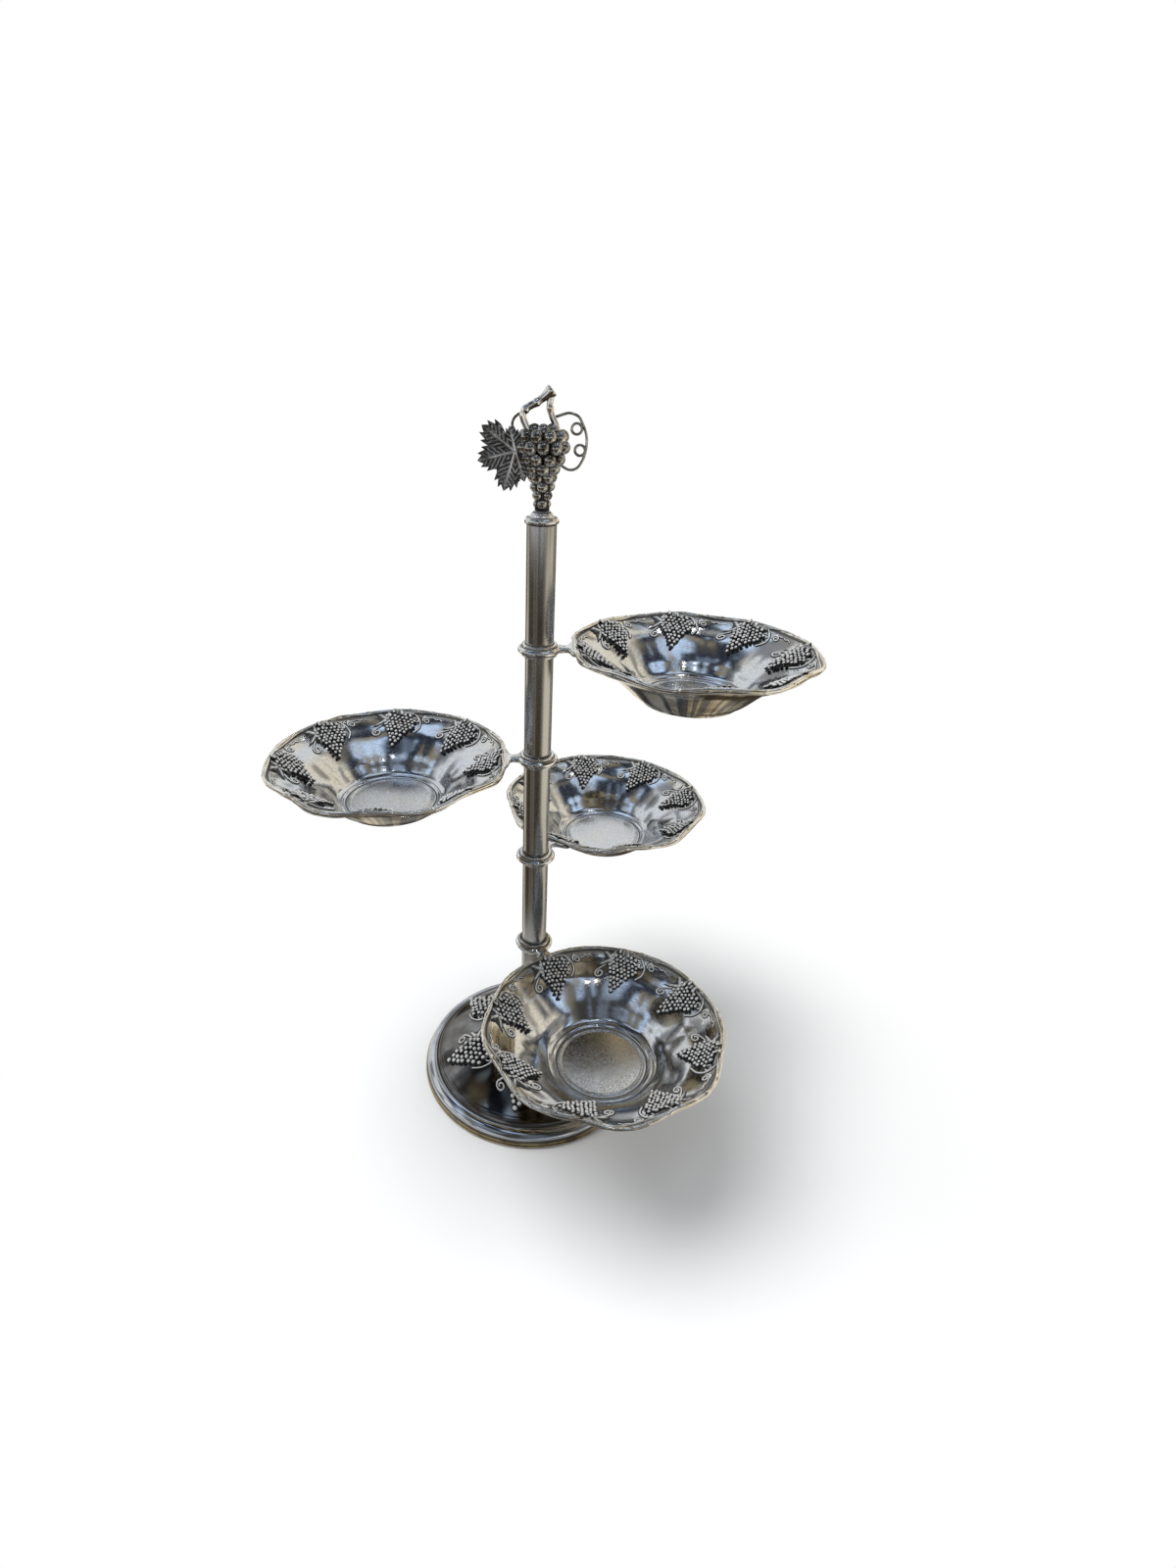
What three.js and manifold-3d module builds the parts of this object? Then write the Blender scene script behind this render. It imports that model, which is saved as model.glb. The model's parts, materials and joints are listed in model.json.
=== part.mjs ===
// A four-tier swivel server in silver plate: four lobed bowls, each on a collar that turns on one
// round column, above a moulded round base and below a cast bunch-of-grapes finial.
// Millimetres, +Z up. The origin is on the column's axis, on the underside of the base's felt.

import * as THREE from 'three';
import { mergeVertices } from 'three/addons/utils/BufferGeometryUtils.js';
import Module from 'manifold-3d';

const wasm = await Module();
wasm.setup();

// Column and tiers, lowest tier first
const tubeRadius = 10;
const tubeWall = 1.2;
const columnFootZ = 47.4;
const tierPitch = 85.6;
const tierAzimuths = [-61.6, 56.1, 183.2, 1.4];
const rodRadius = 3;

// Collar and its bearing
const collarSwell = 2.75;
const collarHeight = 8.8;
const collarLip = 2;
const webThickness = 3;
const pilotWall = 2.6;
const washerThickness = 0.8;
const plugLength = 8;
const tubeClearance = 0.45;
const pilotClearance = 0.3;
const rodClearance = 0.4;
const pressClearance = 0.2;
const runningGap = 0.2;

// Arm between collar and bowl
const armWaist = 4.4;
const armThickness = 5.2;
const armSpread = 17;
const solderGap = 0.3;

// Bowl
const bowlRadius = 89;
const rimFromAxis = 21;
const bowlDepth = 39;
const bowlWall = 1.6;
const rimAboveCollar = 2.3;
const rimBead = 3.4;
const floorRadius = 34.5;
const footHeight = 1.4;
const footWidth = 2;
const lobes = 8;
const lobeSwing = 1.7;
const lobeDrop = 1.1;
const fluteDepth = 1.8;

// Base
const baseRadius = 95;
const baseWall = 2;
const footFlange = 4.2;
const mouldingRadius = 8;
const domeInset = 11;
const domeFootZ = 14.4;
const socketDepth = 3;
const footLift = 0.8;
const feltThickness = 1.7;
const plateThickness = 1.2;
const rimLand = 4;

// Fasteners on the tie rod
const nutWall = 1.6;
const nutHeight = 5;
const rodTail = 3;
const steelWasherRadius = 9;
const steelWasherThickness = 1;

// Finial
const capOverhang = 1.7;
const capBead = 4.4;
const neckHeight = 8.6;
const neckRadius = 5.7;
const bunchHeight = 52.4;
const bunchRadius = 13.6;
const bunchFlatness = 0.86;
const grapeRadius = 4;
const leafLength = 26;
const leafThickness = 1.8;
const leafDrop = 16.5;
const caneRadius = 2.5;
const tendrilRadius = 0.9;
const curlRadius = 3.2;

const roundSides = 18;
const innerSides = 12;
const baseSides = 32;
const bowlSides = lobes * 4;

const silver = { color: 0xc9c6bf, roughness: 0.16, metalness: 1 };
const agedSilver = { color: 0x9c9a94, roughness: 0.32, metalness: 1 };
const steel = { color: 0x8f9296, roughness: 0.4, metalness: 1 };
const brass = { color: 0xb08d4a, roughness: 0.35, metalness: 1 };
const nylon = { color: 0xe6e2d6, roughness: 0.6, metalness: 0 };
const felt = { color: 0x1d2a22, roughness: 1, metalness: 0 };

// Heights and radii that several pieces share
const tierZ = tierAzimuths.map((_, tier) => columnFootZ + (tier + 1) * tierPitch);
const columnTopZ = columnFootZ + (tierAzimuths.length + 1) * tierPitch;
const seatZ = columnFootZ - socketDepth;
const seatUndersideZ = seatZ - socketDepth;
const tubeBore = tubeRadius - tubeWall;
const recessRadius = tubeRadius + tubeClearance;
const plugRadius = tubeBore - pressClearance;
const collarRadius = recessRadius + collarLip + collarSwell;
const bowlOffset = bowlRadius + rimFromAxis;
const domeFootRadius = baseRadius - domeInset;
const capRadius = tubeRadius + capOverhang;
const rodBore = rodRadius + rodClearance;
const nutAcrossFlats = 2 * (rodBore + nutWall);
const pilotRadius = rodBore + pilotWall;
const pilotBore = pilotRadius + pilotClearance;
const endOffset = webThickness / 2 + runningGap + washerThickness;
const capZ = columnTopZ + solderGap;
const rodTopZ = columnTopZ + capBead * 0.8;
const bunchFootZ = capZ + neckHeight;
const bunchTopZ = bunchFootZ + bunchHeight;

const server = new THREE.Group();

// Adds one named piece to a group, the server's own frame by default.
function addPiece(name, geometry, finish, parent = server) {
  const mesh = new THREE.Mesh(geometry, new THREE.MeshStandardMaterial(finish));
  mesh.name = name;
  parent.add(mesh);
  return mesh;
}

// A closed geometry as a solid that can be joined and cut.
function solidOf(geometry) {
  const plain = geometry.clone();
  plain.deleteAttribute('normal');
  plain.deleteAttribute('uv');
  const merged = mergeVertices(plain, 1e-4);
  const vertProperties = new Float32Array(merged.attributes.position.array);
  const triVerts = new Uint32Array(merged.index.array);
  return new wasm.Manifold(new wasm.Mesh({ numProp: 3, vertProperties, triVerts }));
}

// A solid back as a geometry for a mesh. Crumbs that a cut leaves beside the main body are dropped.
function geometryOf(solid) {
  const [main] = solid.decompose().sort((one, other) => other.volume() - one.volume());
  const mesh = main.getMesh();
  const geometry = new THREE.BufferGeometry();
  geometry.setAttribute('position', new THREE.BufferAttribute(mesh.vertProperties, 3));
  geometry.setIndex(new THREE.BufferAttribute(mesh.triVerts, 1));
  geometry.computeVertexNormals();
  return geometry;
}

// Turns a profile of [radius, z] points about +Z. The profile runs upwards on its outside.
function turned(profile, sides) {
  const points = profile.map(([radius, z]) => new THREE.Vector2(radius, z));
  return new THREE.LatheGeometry(points, sides).rotateX(Math.PI / 2);
}

// A turned ring or tube with a plain bore.
function sleeve(boreRadius, outerRadius, bottomZ, topZ, sides = innerSides) {
  return turned([
    [boreRadius, bottomZ],
    [outerRadius, bottomZ],
    [outerRadius, topZ],
    [boreRadius, topZ],
    [boreRadius, bottomZ],
  ], sides);
}

// A turned disc or rod without a bore.
function disc(radius, bottomZ, topZ, sides) {
  return turned([[0, bottomZ], [radius, bottomZ], [radius, topZ], [0, topZ]], sides);
}

// A round bar along points, closed at both ends, whose radius may change on its way.
function bar(points, radiusAt, sides, steps) {
  const curve = new THREE.CatmullRomCurve3(points.map((point) => new THREE.Vector3(...point)));
  const frames = curve.computeFrenetFrames(steps, false);
  const positions = [];
  const indices = [];
  for (let step = 0; step <= steps; step += 1) {
    const centre = curve.getPointAt(step / steps);
    for (let side = 0; side < sides; side += 1) {
      const angle = (2 * Math.PI * side) / sides;
      const spoke = frames.normals[step].clone().multiplyScalar(Math.cos(angle))
        .addScaledVector(frames.binormals[step], Math.sin(angle));
      positions.push(...centre.clone().addScaledVector(spoke, radiusAt(step / steps)));
    }
  }
  for (let step = 0; step < steps; step += 1) {
    for (let side = 0; side < sides; side += 1) {
      const a = step * sides + side;
      const b = step * sides + ((side + 1) % sides);
      indices.push(a, b, b + sides, a, b + sides, a + sides);
    }
  }
  const last = steps * sides;
  for (let side = 1; side < sides - 1; side += 1) {
    indices.push(0, side + 1, side, last, last + side, last + side + 1);
  }
  const geometry = new THREE.BufferGeometry();
  geometry.setAttribute('position', new THREE.Float32BufferAttribute(positions, 3));
  geometry.setIndex(indices);
  return geometry;
}

// The bowl's lobes and flutes. The rim pulls in and rises at each bunch of grapes on it, and swings
// out and dips between two bunches; the wall bulges below each bunch, with a soft ridge between.
function lobe(geometry) {
  const position = geometry.attributes.position;
  for (let i = 0; i < position.count; i += 1) {
    const [x, y, z] = [position.getX(i), position.getY(i), position.getZ(i)];
    const radius = Math.hypot(x, y);
    const angle = Math.atan2(y, x);
    const reach = THREE.MathUtils.clamp((radius - floorRadius) / (bowlRadius - floorRadius), 0, 1);
    const wave = -Math.cos(lobes * angle) * reach * reach;
    const flute = Math.abs(Math.cos((lobes / 2) * angle)) * Math.sin(Math.PI * reach);
    const grown = radius < 1e-6 ? 0 : (radius + lobeSwing * wave + fluteDepth * flute) / radius;
    position.setXYZ(i, x * grown, y * grown, z - lobeDrop * wave);
  }
  geometry.computeVertexNormals();
  return geometry;
}

// The wall's inside, as shares of the way from floor edge to rim and of the bowl's depth: a steep
// side that turns over into a broad flange.
const wallShape = [[0.13, 0.82], [0.32, 0.56], [0.54, 0.3], [0.76, 0.16]];

// The wall's profile, moved outwards and down by its own thickness for the outside.
function wallProfile(thickness) {
  return wallShape.map(([reach, depth]) => [
    floorRadius + (bowlRadius - floorRadius) * reach + thickness * 0.5,
    -bowlDepth * depth - thickness * 0.85,
  ]);
}

// A lobed bowl with its origin in the middle of its rim.
function bowlGeometry() {
  const underFloorZ = -bowlDepth + footHeight;
  const floorZ = underFloorZ + bowlWall;
  const footRadius = floorRadius + bowlWall;
  const bead = rimBead / 2;
  return lobe(turned([
    [0, underFloorZ],
    [footRadius - footWidth - 0.4, underFloorZ],
    [footRadius - footWidth, -bowlDepth],
    [footRadius, -bowlDepth],
    ...wallProfile(bowlWall),
    [bowlRadius - 1.2, -bead],
    [bowlRadius, 0],
    [bowlRadius - bead, bead],
    [bowlRadius - rimBead, -bead * 0.2],
    ...wallProfile(0).reverse(),
    [floorRadius - 1, floorZ],
    [0, floorZ],
  ], bowlSides));
}

// The room that the bowl takes out of its arm, with the solder gap round it.
function bowlRoom() {
  const bead = rimBead / 2;
  return solidOf(lobe(turned([
    [0, -bowlDepth],
    [floorRadius, -bowlDepth],
    ...wallProfile(bowlWall + solderGap),
    [bowlRadius - 1.2 + solderGap, -bead - solderGap],
    [bowlRadius + solderGap, 0],
    [bowlRadius + solderGap, armThickness],
    [0, armThickness],
  ], bowlSides))).translate([bowlOffset, 0, rimAboveCollar]);
}

// The moulded ring, with the web inside it that carries the tier on its bearing.
function collarRing() {
  const half = collarHeight / 2;
  const web = webThickness / 2;
  return solidOf(turned([
    [pilotBore, -web],
    [recessRadius, -web],
    [recessRadius, -half],
    [recessRadius + collarLip, -half],
    [recessRadius + collarLip, -half * 0.6],
    [collarRadius, -half * 0.3],
    [collarRadius, half * 0.25],
    [recessRadius + collarLip, half * 0.5],
    [recessRadius + collarLip, half],
    [recessRadius, half],
    [recessRadius, web],
    [pilotBore, web],
    [pilotBore, -web],
  ], roundSides));
}

// The arm, from inside the ring through a waist to two horns that follow the bowl's rim.
function armSolid() {
  const root = recessRadius + collarLip * 0.6;
  const rimX = bowlOffset - bowlRadius;
  const waistX = (collarRadius + rimX) / 2;
  const hornX = bowlOffset - Math.sqrt(bowlRadius ** 2 - armSpread ** 2);
  const bevel = 1;
  const plan = new THREE.Shape();
  plan.moveTo(root, -armWaist - 1.5);
  plan.quadraticCurveTo(waistX - 2, -armWaist, waistX, -armWaist);
  plan.quadraticCurveTo(rimX - 0.5, -armWaist - 1.5, hornX - 1, -armSpread);
  plan.lineTo(hornX + 6, -armSpread);
  plan.lineTo(hornX + 6, armSpread);
  plan.lineTo(hornX - 1, armSpread);
  plan.quadraticCurveTo(rimX - 0.5, armWaist + 1.5, waistX, armWaist);
  plan.quadraticCurveTo(waistX - 2, armWaist, root, armWaist + 1.5);
  plan.closePath();
  return solidOf(new THREE.ExtrudeGeometry(plan, {
    depth: armThickness - 2 * bevel,
    bevelThickness: bevel,
    bevelSize: bevel,
    bevelOffset: -bevel,
    bevelSegments: 1,
    curveSegments: 3,
  })).translate([0, 0, bevel - armThickness / 2]);
}

// One tier's turning pieces, in a group at the collar's middle, turned to its azimuth.
function addTier(tier) {
  const turning = new THREE.Group();
  turning.position.z = tierZ[tier];
  turning.rotation.z = THREE.MathUtils.degToRad(tierAzimuths[tier]);
  server.add(turning);
  const bowl = addPiece(`bowl_${tier + 1}`, bowlGeometry(), silver, turning);
  bowl.position.set(bowlOffset, 0, rimAboveCollar);
  const collar = collarRing().add(armSolid()).subtract(bowlRoom());
  addPiece(`collar_${tier + 1}`, geometryOf(collar), silver, turning);
}

// The fixed bearing in the column at one tier: a bush pressed in the tube below, whose pilot goes
// up through two thrust washers and the collar's web and seats in the plug of the tube above.
function addBearing(tier) {
  const shoulderZ = tierZ[tier] - endOffset;
  const upperTubeZ = tierZ[tier] + endOffset;
  const pilotTopZ = upperTubeZ + plugLength / 2;
  addPiece(`pivot_bush_${tier + 1}`, turned([
    [rodBore, shoulderZ - plugLength],
    [plugRadius, shoulderZ - plugLength],
    [plugRadius, shoulderZ],
    [pilotRadius, shoulderZ],
    [pilotRadius, pilotTopZ],
    [rodBore, pilotTopZ],
    [rodBore, shoulderZ - plugLength],
  ], innerSides), brass);
  addPiece(`tube_plug_${tier + 2}`, turned([
    [pilotBore, upperTubeZ],
    [plugRadius, upperTubeZ],
    [plugRadius, upperTubeZ + plugLength],
    [rodBore, upperTubeZ + plugLength],
    [rodBore, pilotTopZ],
    [pilotBore, pilotTopZ],
    [pilotBore, upperTubeZ],
  ], innerSides), brass);
  const lowerWasher = sleeve(pilotBore, plugRadius, shoulderZ, shoulderZ + washerThickness);
  const upperWasher = sleeve(pilotBore, plugRadius, upperTubeZ - washerThickness, upperTubeZ);
  addPiece(`lower_thrust_washer_${tier + 1}`, lowerWasher, nylon);
  addPiece(`upper_thrust_washer_${tier + 1}`, upperWasher, nylon);
}

// The tube below the first collar, those between collars and the one up to the finial's cap.
function addTubes() {
  const bottoms = [seatZ, ...tierZ.map((z) => z + endOffset)];
  const tops = [...tierZ.map((z) => z - endOffset), columnTopZ];
  bottoms.forEach((bottomZ, i) => {
    const tube = sleeve(tubeBore, tubeRadius, bottomZ, tops[i], roundSides);
    addPiece(`column_tube_${i + 1}`, tube, silver);
  });
  addPiece('tube_plug_1', sleeve(rodBore, plugRadius, seatZ, seatZ + plugLength), brass);
}

// A point of the dome, from its shoulder (share 0) to its foot (share 1), sunk by a thickness.
function domePoint(share, thickness) {
  const shoulderRadius = recessRadius + collarLip * 2;
  const shoulderZ = seatZ - 0.6;
  const fall = 0.45 * share + 0.55 * share ** 2;
  return [
    shoulderRadius + (domeFootRadius - shoulderRadius) * share - thickness * 0.3,
    shoulderZ - (shoulderZ - domeFootZ) * fall - thickness,
  ];
}

// The base's shell: a socket for the column, a dome, a quarter-round moulding and a flanged foot.
function baseShell() {
  const skirtRadius = baseRadius - rimLand;
  const mouldingCentre = baseRadius - 1 - mouldingRadius;
  const moulding = [0, 1, 2, 3].map((i) => {
    const angle = (Math.PI / 6) * i;
    return [
      mouldingCentre + mouldingRadius * Math.cos(angle),
      footFlange + 0.8 + mouldingRadius * Math.sin(angle),
    ];
  });
  const domeOutside = [0, 0.2, 0.4, 0.6, 0.8, 1].map((share) => domePoint(share, 0));
  const domeInside = [0, 0.4, 0.8, 0.96].map((share) => domePoint(share, baseWall));
  return turned([
    [rodBore, seatUndersideZ],
    [recessRadius, seatUndersideZ],
    ...domeInside,
    [skirtRadius, footFlange],
    [skirtRadius, footLift],
    [baseRadius - 0.8, footLift],
    [baseRadius, footLift + 1],
    [baseRadius, footFlange - 0.5],
    [baseRadius - 1.4, footFlange],
    ...moulding,
    [domeFootRadius + 0.6, domeFootZ - 1.6],
    ...domeOutside.reverse(),
    [recessRadius + collarLip * 1.4, seatZ + 0.4],
    [recessRadius + collarLip * 1.4, columnFootZ - 1],
    [recessRadius + collarLip, columnFootZ],
    [recessRadius, columnFootZ],
    [recessRadius, seatZ],
    [rodBore, seatZ],
    [rodBore, seatUndersideZ],
  ], baseSides);
}

// The shell, the plate that closes it from below and the felt that it stands on.
function addBase() {
  const plateRadius = baseRadius - rimLand - tubeClearance;
  const plateZ = feltThickness + pressClearance;
  addPiece('base_shell', baseShell(), silver);
  addPiece('base_plate', disc(plateRadius, plateZ, plateZ + plateThickness, baseSides), steel);
  addPiece('base_felt', disc(plateRadius - 2, 0, feltThickness, baseSides), felt);
}

// The rod that clamps the column between its nut inside the base and the finial's cap.
function addTieRod() {
  const washerTopZ = seatUndersideZ - runningGap;
  const washerZ = washerTopZ - steelWasherThickness;
  const nutTopZ = washerZ - runningGap;
  const nutZ = nutTopZ - nutHeight;
  addPiece('tie_rod', disc(rodRadius, nutZ - rodTail, rodTopZ, innerSides), steel);
  addPiece('base_washer', sleeve(rodBore, steelWasherRadius, washerZ, washerTopZ), steel);
  const hexagon = solidOf(disc(nutAcrossFlats / Math.sqrt(3), nutZ, nutTopZ, 6));
  const bore = solidOf(disc(rodBore, nutZ - 1, nutTopZ + 1, innerSides));
  addPiece('base_nut', geometryOf(hexagon.subtract(bore)), steel);
}

// The cap that screws on the rod: a spigot in the tube, a bead over the tube's end, a step and the
// neck that carries the finial.
function addCap() {
  addPiece('finial_cap', turned([
    [rodBore, capZ - plugLength],
    [plugRadius, capZ - plugLength],
    [plugRadius, capZ],
    [tubeRadius + 0.6, capZ],
    [capRadius, capZ + capBead * 0.3],
    [capRadius, capZ + capBead * 0.65],
    [capRadius - 1.8, capZ + capBead],
    [neckRadius + 1.7, capZ + capBead + 0.2],
    [neckRadius + 1.4, capZ + capBead + 2.4],
    [neckRadius, bunchFootZ - solderGap],
    [0, bunchFootZ - solderGap],
    [0, rodTopZ + runningGap],
    [rodBore, rodTopZ + runningGap],
    [rodBore, capZ - plugLength],
  ], roundSides), silver);
}

// Rows of grapes from the bunch's foot to its top: share of the height, share of the radius, count.
const grapeRows = [
  [0.13, 0.26, 3],
  [0.24, 0.28, 4],
  [0.35, 0.38, 5],
  [0.46, 0.54, 6],
  [0.58, 0.76, 8],
  [0.72, 1, 10],
  [0.86, 0.9, 9],
  [0.92, 0.42, 4],
];

// The bunch of grapes, grown by a clearance where it is the room that a neighbour leaves for it.
function bunchSolid(clearance = 0) {
  const topZ = bunchTopZ - grapeRadius + clearance;
  const core = turned([
    [0, bunchFootZ - clearance],
    [neckRadius - 0.3 + clearance, bunchFootZ - clearance],
    [neckRadius - 1 + clearance, bunchFootZ + 0.12 * bunchHeight],
    [0.7 * bunchRadius + clearance, bunchFootZ + 0.5 * bunchHeight],
    [0.95 * bunchRadius + clearance, bunchFootZ + 0.75 * bunchHeight],
    [0.5 * bunchRadius + clearance, topZ],
    [0, topZ],
  ], innerSides).scale(1, bunchFlatness, 1);
  const grape = solidOf(new THREE.IcosahedronGeometry(grapeRadius + clearance, 0));
  const grapes = grapeRows.flatMap(([heightShare, radiusShare, count], row) =>
    Array.from({ length: count }, (_, i) => {
      const angle = (2 * Math.PI * (i + (row % 2) / 2)) / count - Math.PI / 2;
      const radius = bunchRadius * radiusShare;
      return grape.rotate([0, 0, THREE.MathUtils.radToDeg(angle)]).translate([
        radius * Math.cos(angle),
        bunchFlatness * radius * Math.sin(angle),
        bunchFootZ + bunchHeight * heightShare,
      ]);
    }));
  return wasm.Manifold.union([solidOf(core), ...grapes]);
}

// A vine leaf whose pointed, toothed lobes fan out from its stalk: direction and length of each.
const leafLobes = [[103, 0.6], [144, 1], [194, 0.95], [253, 0.97], [289, 0.74]];
const leafTeeth = [[-19, 0.62], [-12, 0.68], [-11, 0.86], [0, 1], [11, 0.86], [12, 0.68], [19, 0.62]];

function leafSolid(clearance = 0) {
  const notch = 0.5;
  const outline = new THREE.Shape();
  const lineTo = (degrees, share) => {
    const angle = THREE.MathUtils.degToRad(degrees);
    outline.lineTo(leafLength * share * Math.cos(angle), leafLength * share * Math.sin(angle));
  };
  outline.moveTo(leafLength * 0.2, 0);
  lineTo(70, 0.3);
  leafLobes.forEach(([direction, length], i) => {
    leafTeeth.forEach(([turn, share]) => lineTo(direction + turn, length * share));
    const next = leafLobes[i + 1];
    if (next) lineTo((direction + next[0]) / 2, notch);
  });
  lineTo(330, 0.2);
  outline.closePath();
  const depth = leafThickness + 2 * clearance;
  const blade = new THREE.ExtrudeGeometry(outline, { depth, bevelEnabled: false });
  return solidOf(blade.translate(0, 0, -depth / 2).rotateX(Math.PI / 2)).translate([
    -bunchRadius - grapeRadius,
    -0.25 * bunchRadius,
    bunchTopZ - leafDrop,
  ]);
}

// Routes of cane, stalk and tendrils beside the bunch: x, y and height above the bunch's top.
const caneRoute = [
  [-9, 0, -5], [-12.6, 0, 2.4], [-12.7, 0, 6.2], [-9.6, 0, 9.4],
  [-4.3, 0, 12.2], [1.6, 0, 16.4], [5.6, 0, 20],
];
const stalkRoute = [[4.4, 0, 16], [3.6, 0, 11], [4.6, 0, 6], [7.4, 0, 0], [8.6, 0, -5]];
const rightTendrilRoute = [
  [6, 0, 3.6], [10, 0, 4.9], [15.8, 0, 6.4], [21.4, 0, 4.8], [24.4, 0, 0.4], [27.1, 0, -6.6],
  [27.1, 0, -14], [25.4, 0, -20.4], [22, 0, -25.6], [16.6, 0, -27], [9, 0, -23],
];
const leftTendrilRoute = [
  [-12, 0, 5], [-15.6, 0, 5.2], [-bunchRadius - 5.4, 0, 1.8], [-bunchRadius - 5.8, 0, -2.4],
  [-bunchRadius - 3.4, -1, -7], [-bunchRadius - 1.4, -3, -10],
];

// The cane and its stalk. The cut end of the cane flares over its last fifth.
function caneSolid(clearance = 0) {
  const flare = (share) => 1 + 0.7 * Math.max(0, share * 5 - 4);
  const caneBar = bar(caneRoute, (share) => caneRadius * flare(share) + clearance, 7, 12);
  const stalkBar = bar(stalkRoute, () => caneRadius * 0.86 + clearance, 7, 5);
  return solidOf(caneBar).add(solidOf(stalkBar)).translate([0, 0, bunchTopZ]);
}

function tendrilSolid(route, steps) {
  return solidOf(bar(route, () => tendrilRadius, 5, steps)).translate([0, 0, bunchTopZ]);
}

// A closed curl of wire that lies against the inside of the right tendril.
function curlSolid(x, drop) {
  const ring = new THREE.TorusGeometry(curlRadius, tendrilRadius, 5, 12);
  return solidOf(ring.rotateX(Math.PI / 2)).translate([x, 0, bunchTopZ - drop]);
}

// The cast bunch and, soldered to it, the cane with its stalk, the leaf and the wire tendrils.
function addFinial() {
  const bunchRoom = bunchSolid(solderGap);
  const caneRoom = caneSolid(solderGap);
  const leafRoom = leafSolid(solderGap);
  const rightTendril = tendrilSolid(rightTendrilRoute, 22)
    .add(curlSolid(20.9, 2.6))
    .add(curlSolid(23.3, 15.2))
    .subtract(bunchRoom)
    .subtract(caneRoom);
  const leftTendril = tendrilSolid(leftTendrilRoute, 10)
    .subtract(bunchRoom)
    .subtract(caneRoom)
    .subtract(leafRoom);
  addPiece('finial_bunch', geometryOf(bunchSolid()), agedSilver);
  addPiece('finial_cane', geometryOf(caneSolid().subtract(bunchRoom)), agedSilver);
  addPiece('finial_leaf', geometryOf(leafSolid().subtract(bunchRoom)), agedSilver);
  addPiece('finial_tendril_right', geometryOf(rightTendril), agedSilver);
  addPiece('finial_tendril_left', geometryOf(leftTendril), agedSilver);
}

addBase();
addTieRod();
addTubes();
tierZ.forEach((_, tier) => {
  addBearing(tier);
  addTier(tier);
});
addCap();
addFinial();

export default server;
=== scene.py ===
import json
import math

import bmesh
import bpy
import numpy as np
from mathutils import Matrix, Vector


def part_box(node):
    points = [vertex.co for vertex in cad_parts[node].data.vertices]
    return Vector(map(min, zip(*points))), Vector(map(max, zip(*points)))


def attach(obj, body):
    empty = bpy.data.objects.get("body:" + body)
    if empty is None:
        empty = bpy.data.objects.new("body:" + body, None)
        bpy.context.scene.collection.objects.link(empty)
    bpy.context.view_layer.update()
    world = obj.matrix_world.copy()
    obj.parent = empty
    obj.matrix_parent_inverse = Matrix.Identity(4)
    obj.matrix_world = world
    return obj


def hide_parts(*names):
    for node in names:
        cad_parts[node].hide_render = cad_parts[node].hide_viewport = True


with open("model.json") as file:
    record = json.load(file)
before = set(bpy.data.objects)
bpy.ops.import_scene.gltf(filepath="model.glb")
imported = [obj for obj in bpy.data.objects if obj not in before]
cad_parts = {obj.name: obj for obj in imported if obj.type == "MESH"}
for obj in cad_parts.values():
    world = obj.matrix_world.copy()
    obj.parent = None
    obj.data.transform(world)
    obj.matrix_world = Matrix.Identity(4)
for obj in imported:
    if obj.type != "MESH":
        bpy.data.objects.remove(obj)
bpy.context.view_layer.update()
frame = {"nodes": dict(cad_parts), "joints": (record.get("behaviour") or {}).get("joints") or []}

# A four-tier swivel server in silver plate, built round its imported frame. Sizes are in millimetres
# until a mesh is made. +Z is up, and the origin is on the column's axis, on the felt's underside.
MM = 0.001


def node_corners(node):
    """A CAD node's lowest and highest corners, to a hundredth of a millimetre."""
    return [[round(part / MM, 2) for part in corner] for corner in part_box(node)]


# Column
TUBE_RADIUS = node_corners("column_tube_2")[1][1]
TUBE_BORE = 8.8
TUBE_END = 2.5
ROD_BORE = 3.4
RECESS_RADIUS = 10.45
SOCKET_RADIUS = 12.45
COLUMN_FOOT_Z = node_corners("base_shell")[1][2]
COLUMN_TOP_Z = node_corners("column_tube_5")[1][2]
SEAT_Z = node_corners("column_tube_1")[0][2]
SEAT_THICKNESS = 3.0

# Tiers, the lowest first, as they stand in the frame
TIERS = range(1, len(frame["joints"]) + 1)
TIER_Z = [round(joint["pos_m"][2] / MM, 2) for joint in frame["joints"]]
BOWL_MIDDLES = [sum(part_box(f"bowl_{tier}"), Vector()) / 2 / MM for tier in TIERS]
TIER_AZIMUTHS = [round(math.degrees(math.atan2(at.y, at.x)), 2) for at in BOWL_MIDDLES]

# Collar and arm
COLLAR_RADIUS = 15.2
COLLAR_HALF = 4.4
PILOT_BORE = 6.3
WEB_HALF = 1.5
ARM_ROOT = 11.7
ARM_HALF = 2.5
ARM_WAIST = 4.4
ARM_SPREAD = 17.0
ARM_SINK = 0.7

# Bowl
BOWL_RADIUS = 88.8
BOWL_OFFSET = round(BOWL_MIDDLES[0].xy.length, 2)
RIM_ABOVE_COLLAR = 2.3
FLOOR_RADIUS = 34.5
FLOOR_Z = -36.0
UNDER_FLOOR_Z = -37.6
FOOT_Z = -39.0
LOBES = 8
LOBE_SWING = 1.7
LOBE_DROP = 1.1
FLUTE_DEPTH = 1.8
RIDGE_SOFTNESS = 0.1
CANE_CENTRE = 86.5
CANE_RADIUS = 1.6
SHOOT_CENTRE = 84.9
LOWER_SHOOT_CENTRE = 86.3

# Base
DOME_SHOULDER = (14.45, 43.8)
DOME_FOOT = (84.0, 14.4)
DOME_WALL = 2.0
MOULDING_CENTRE = (86.0, 5.0)
MOULDING_RADII = (7.72, 8.0)
BASE_SPRAYS = 6
PLATE_RADIUS = 90.5
PLATE_BOTTOM_Z = 1.8
PLATE_TOP_Z = 3.0
FELT_RADIUS = 88.5
FELT_TOP_Z = 1.7
FOOT_RING_BORE = 91.0

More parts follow.
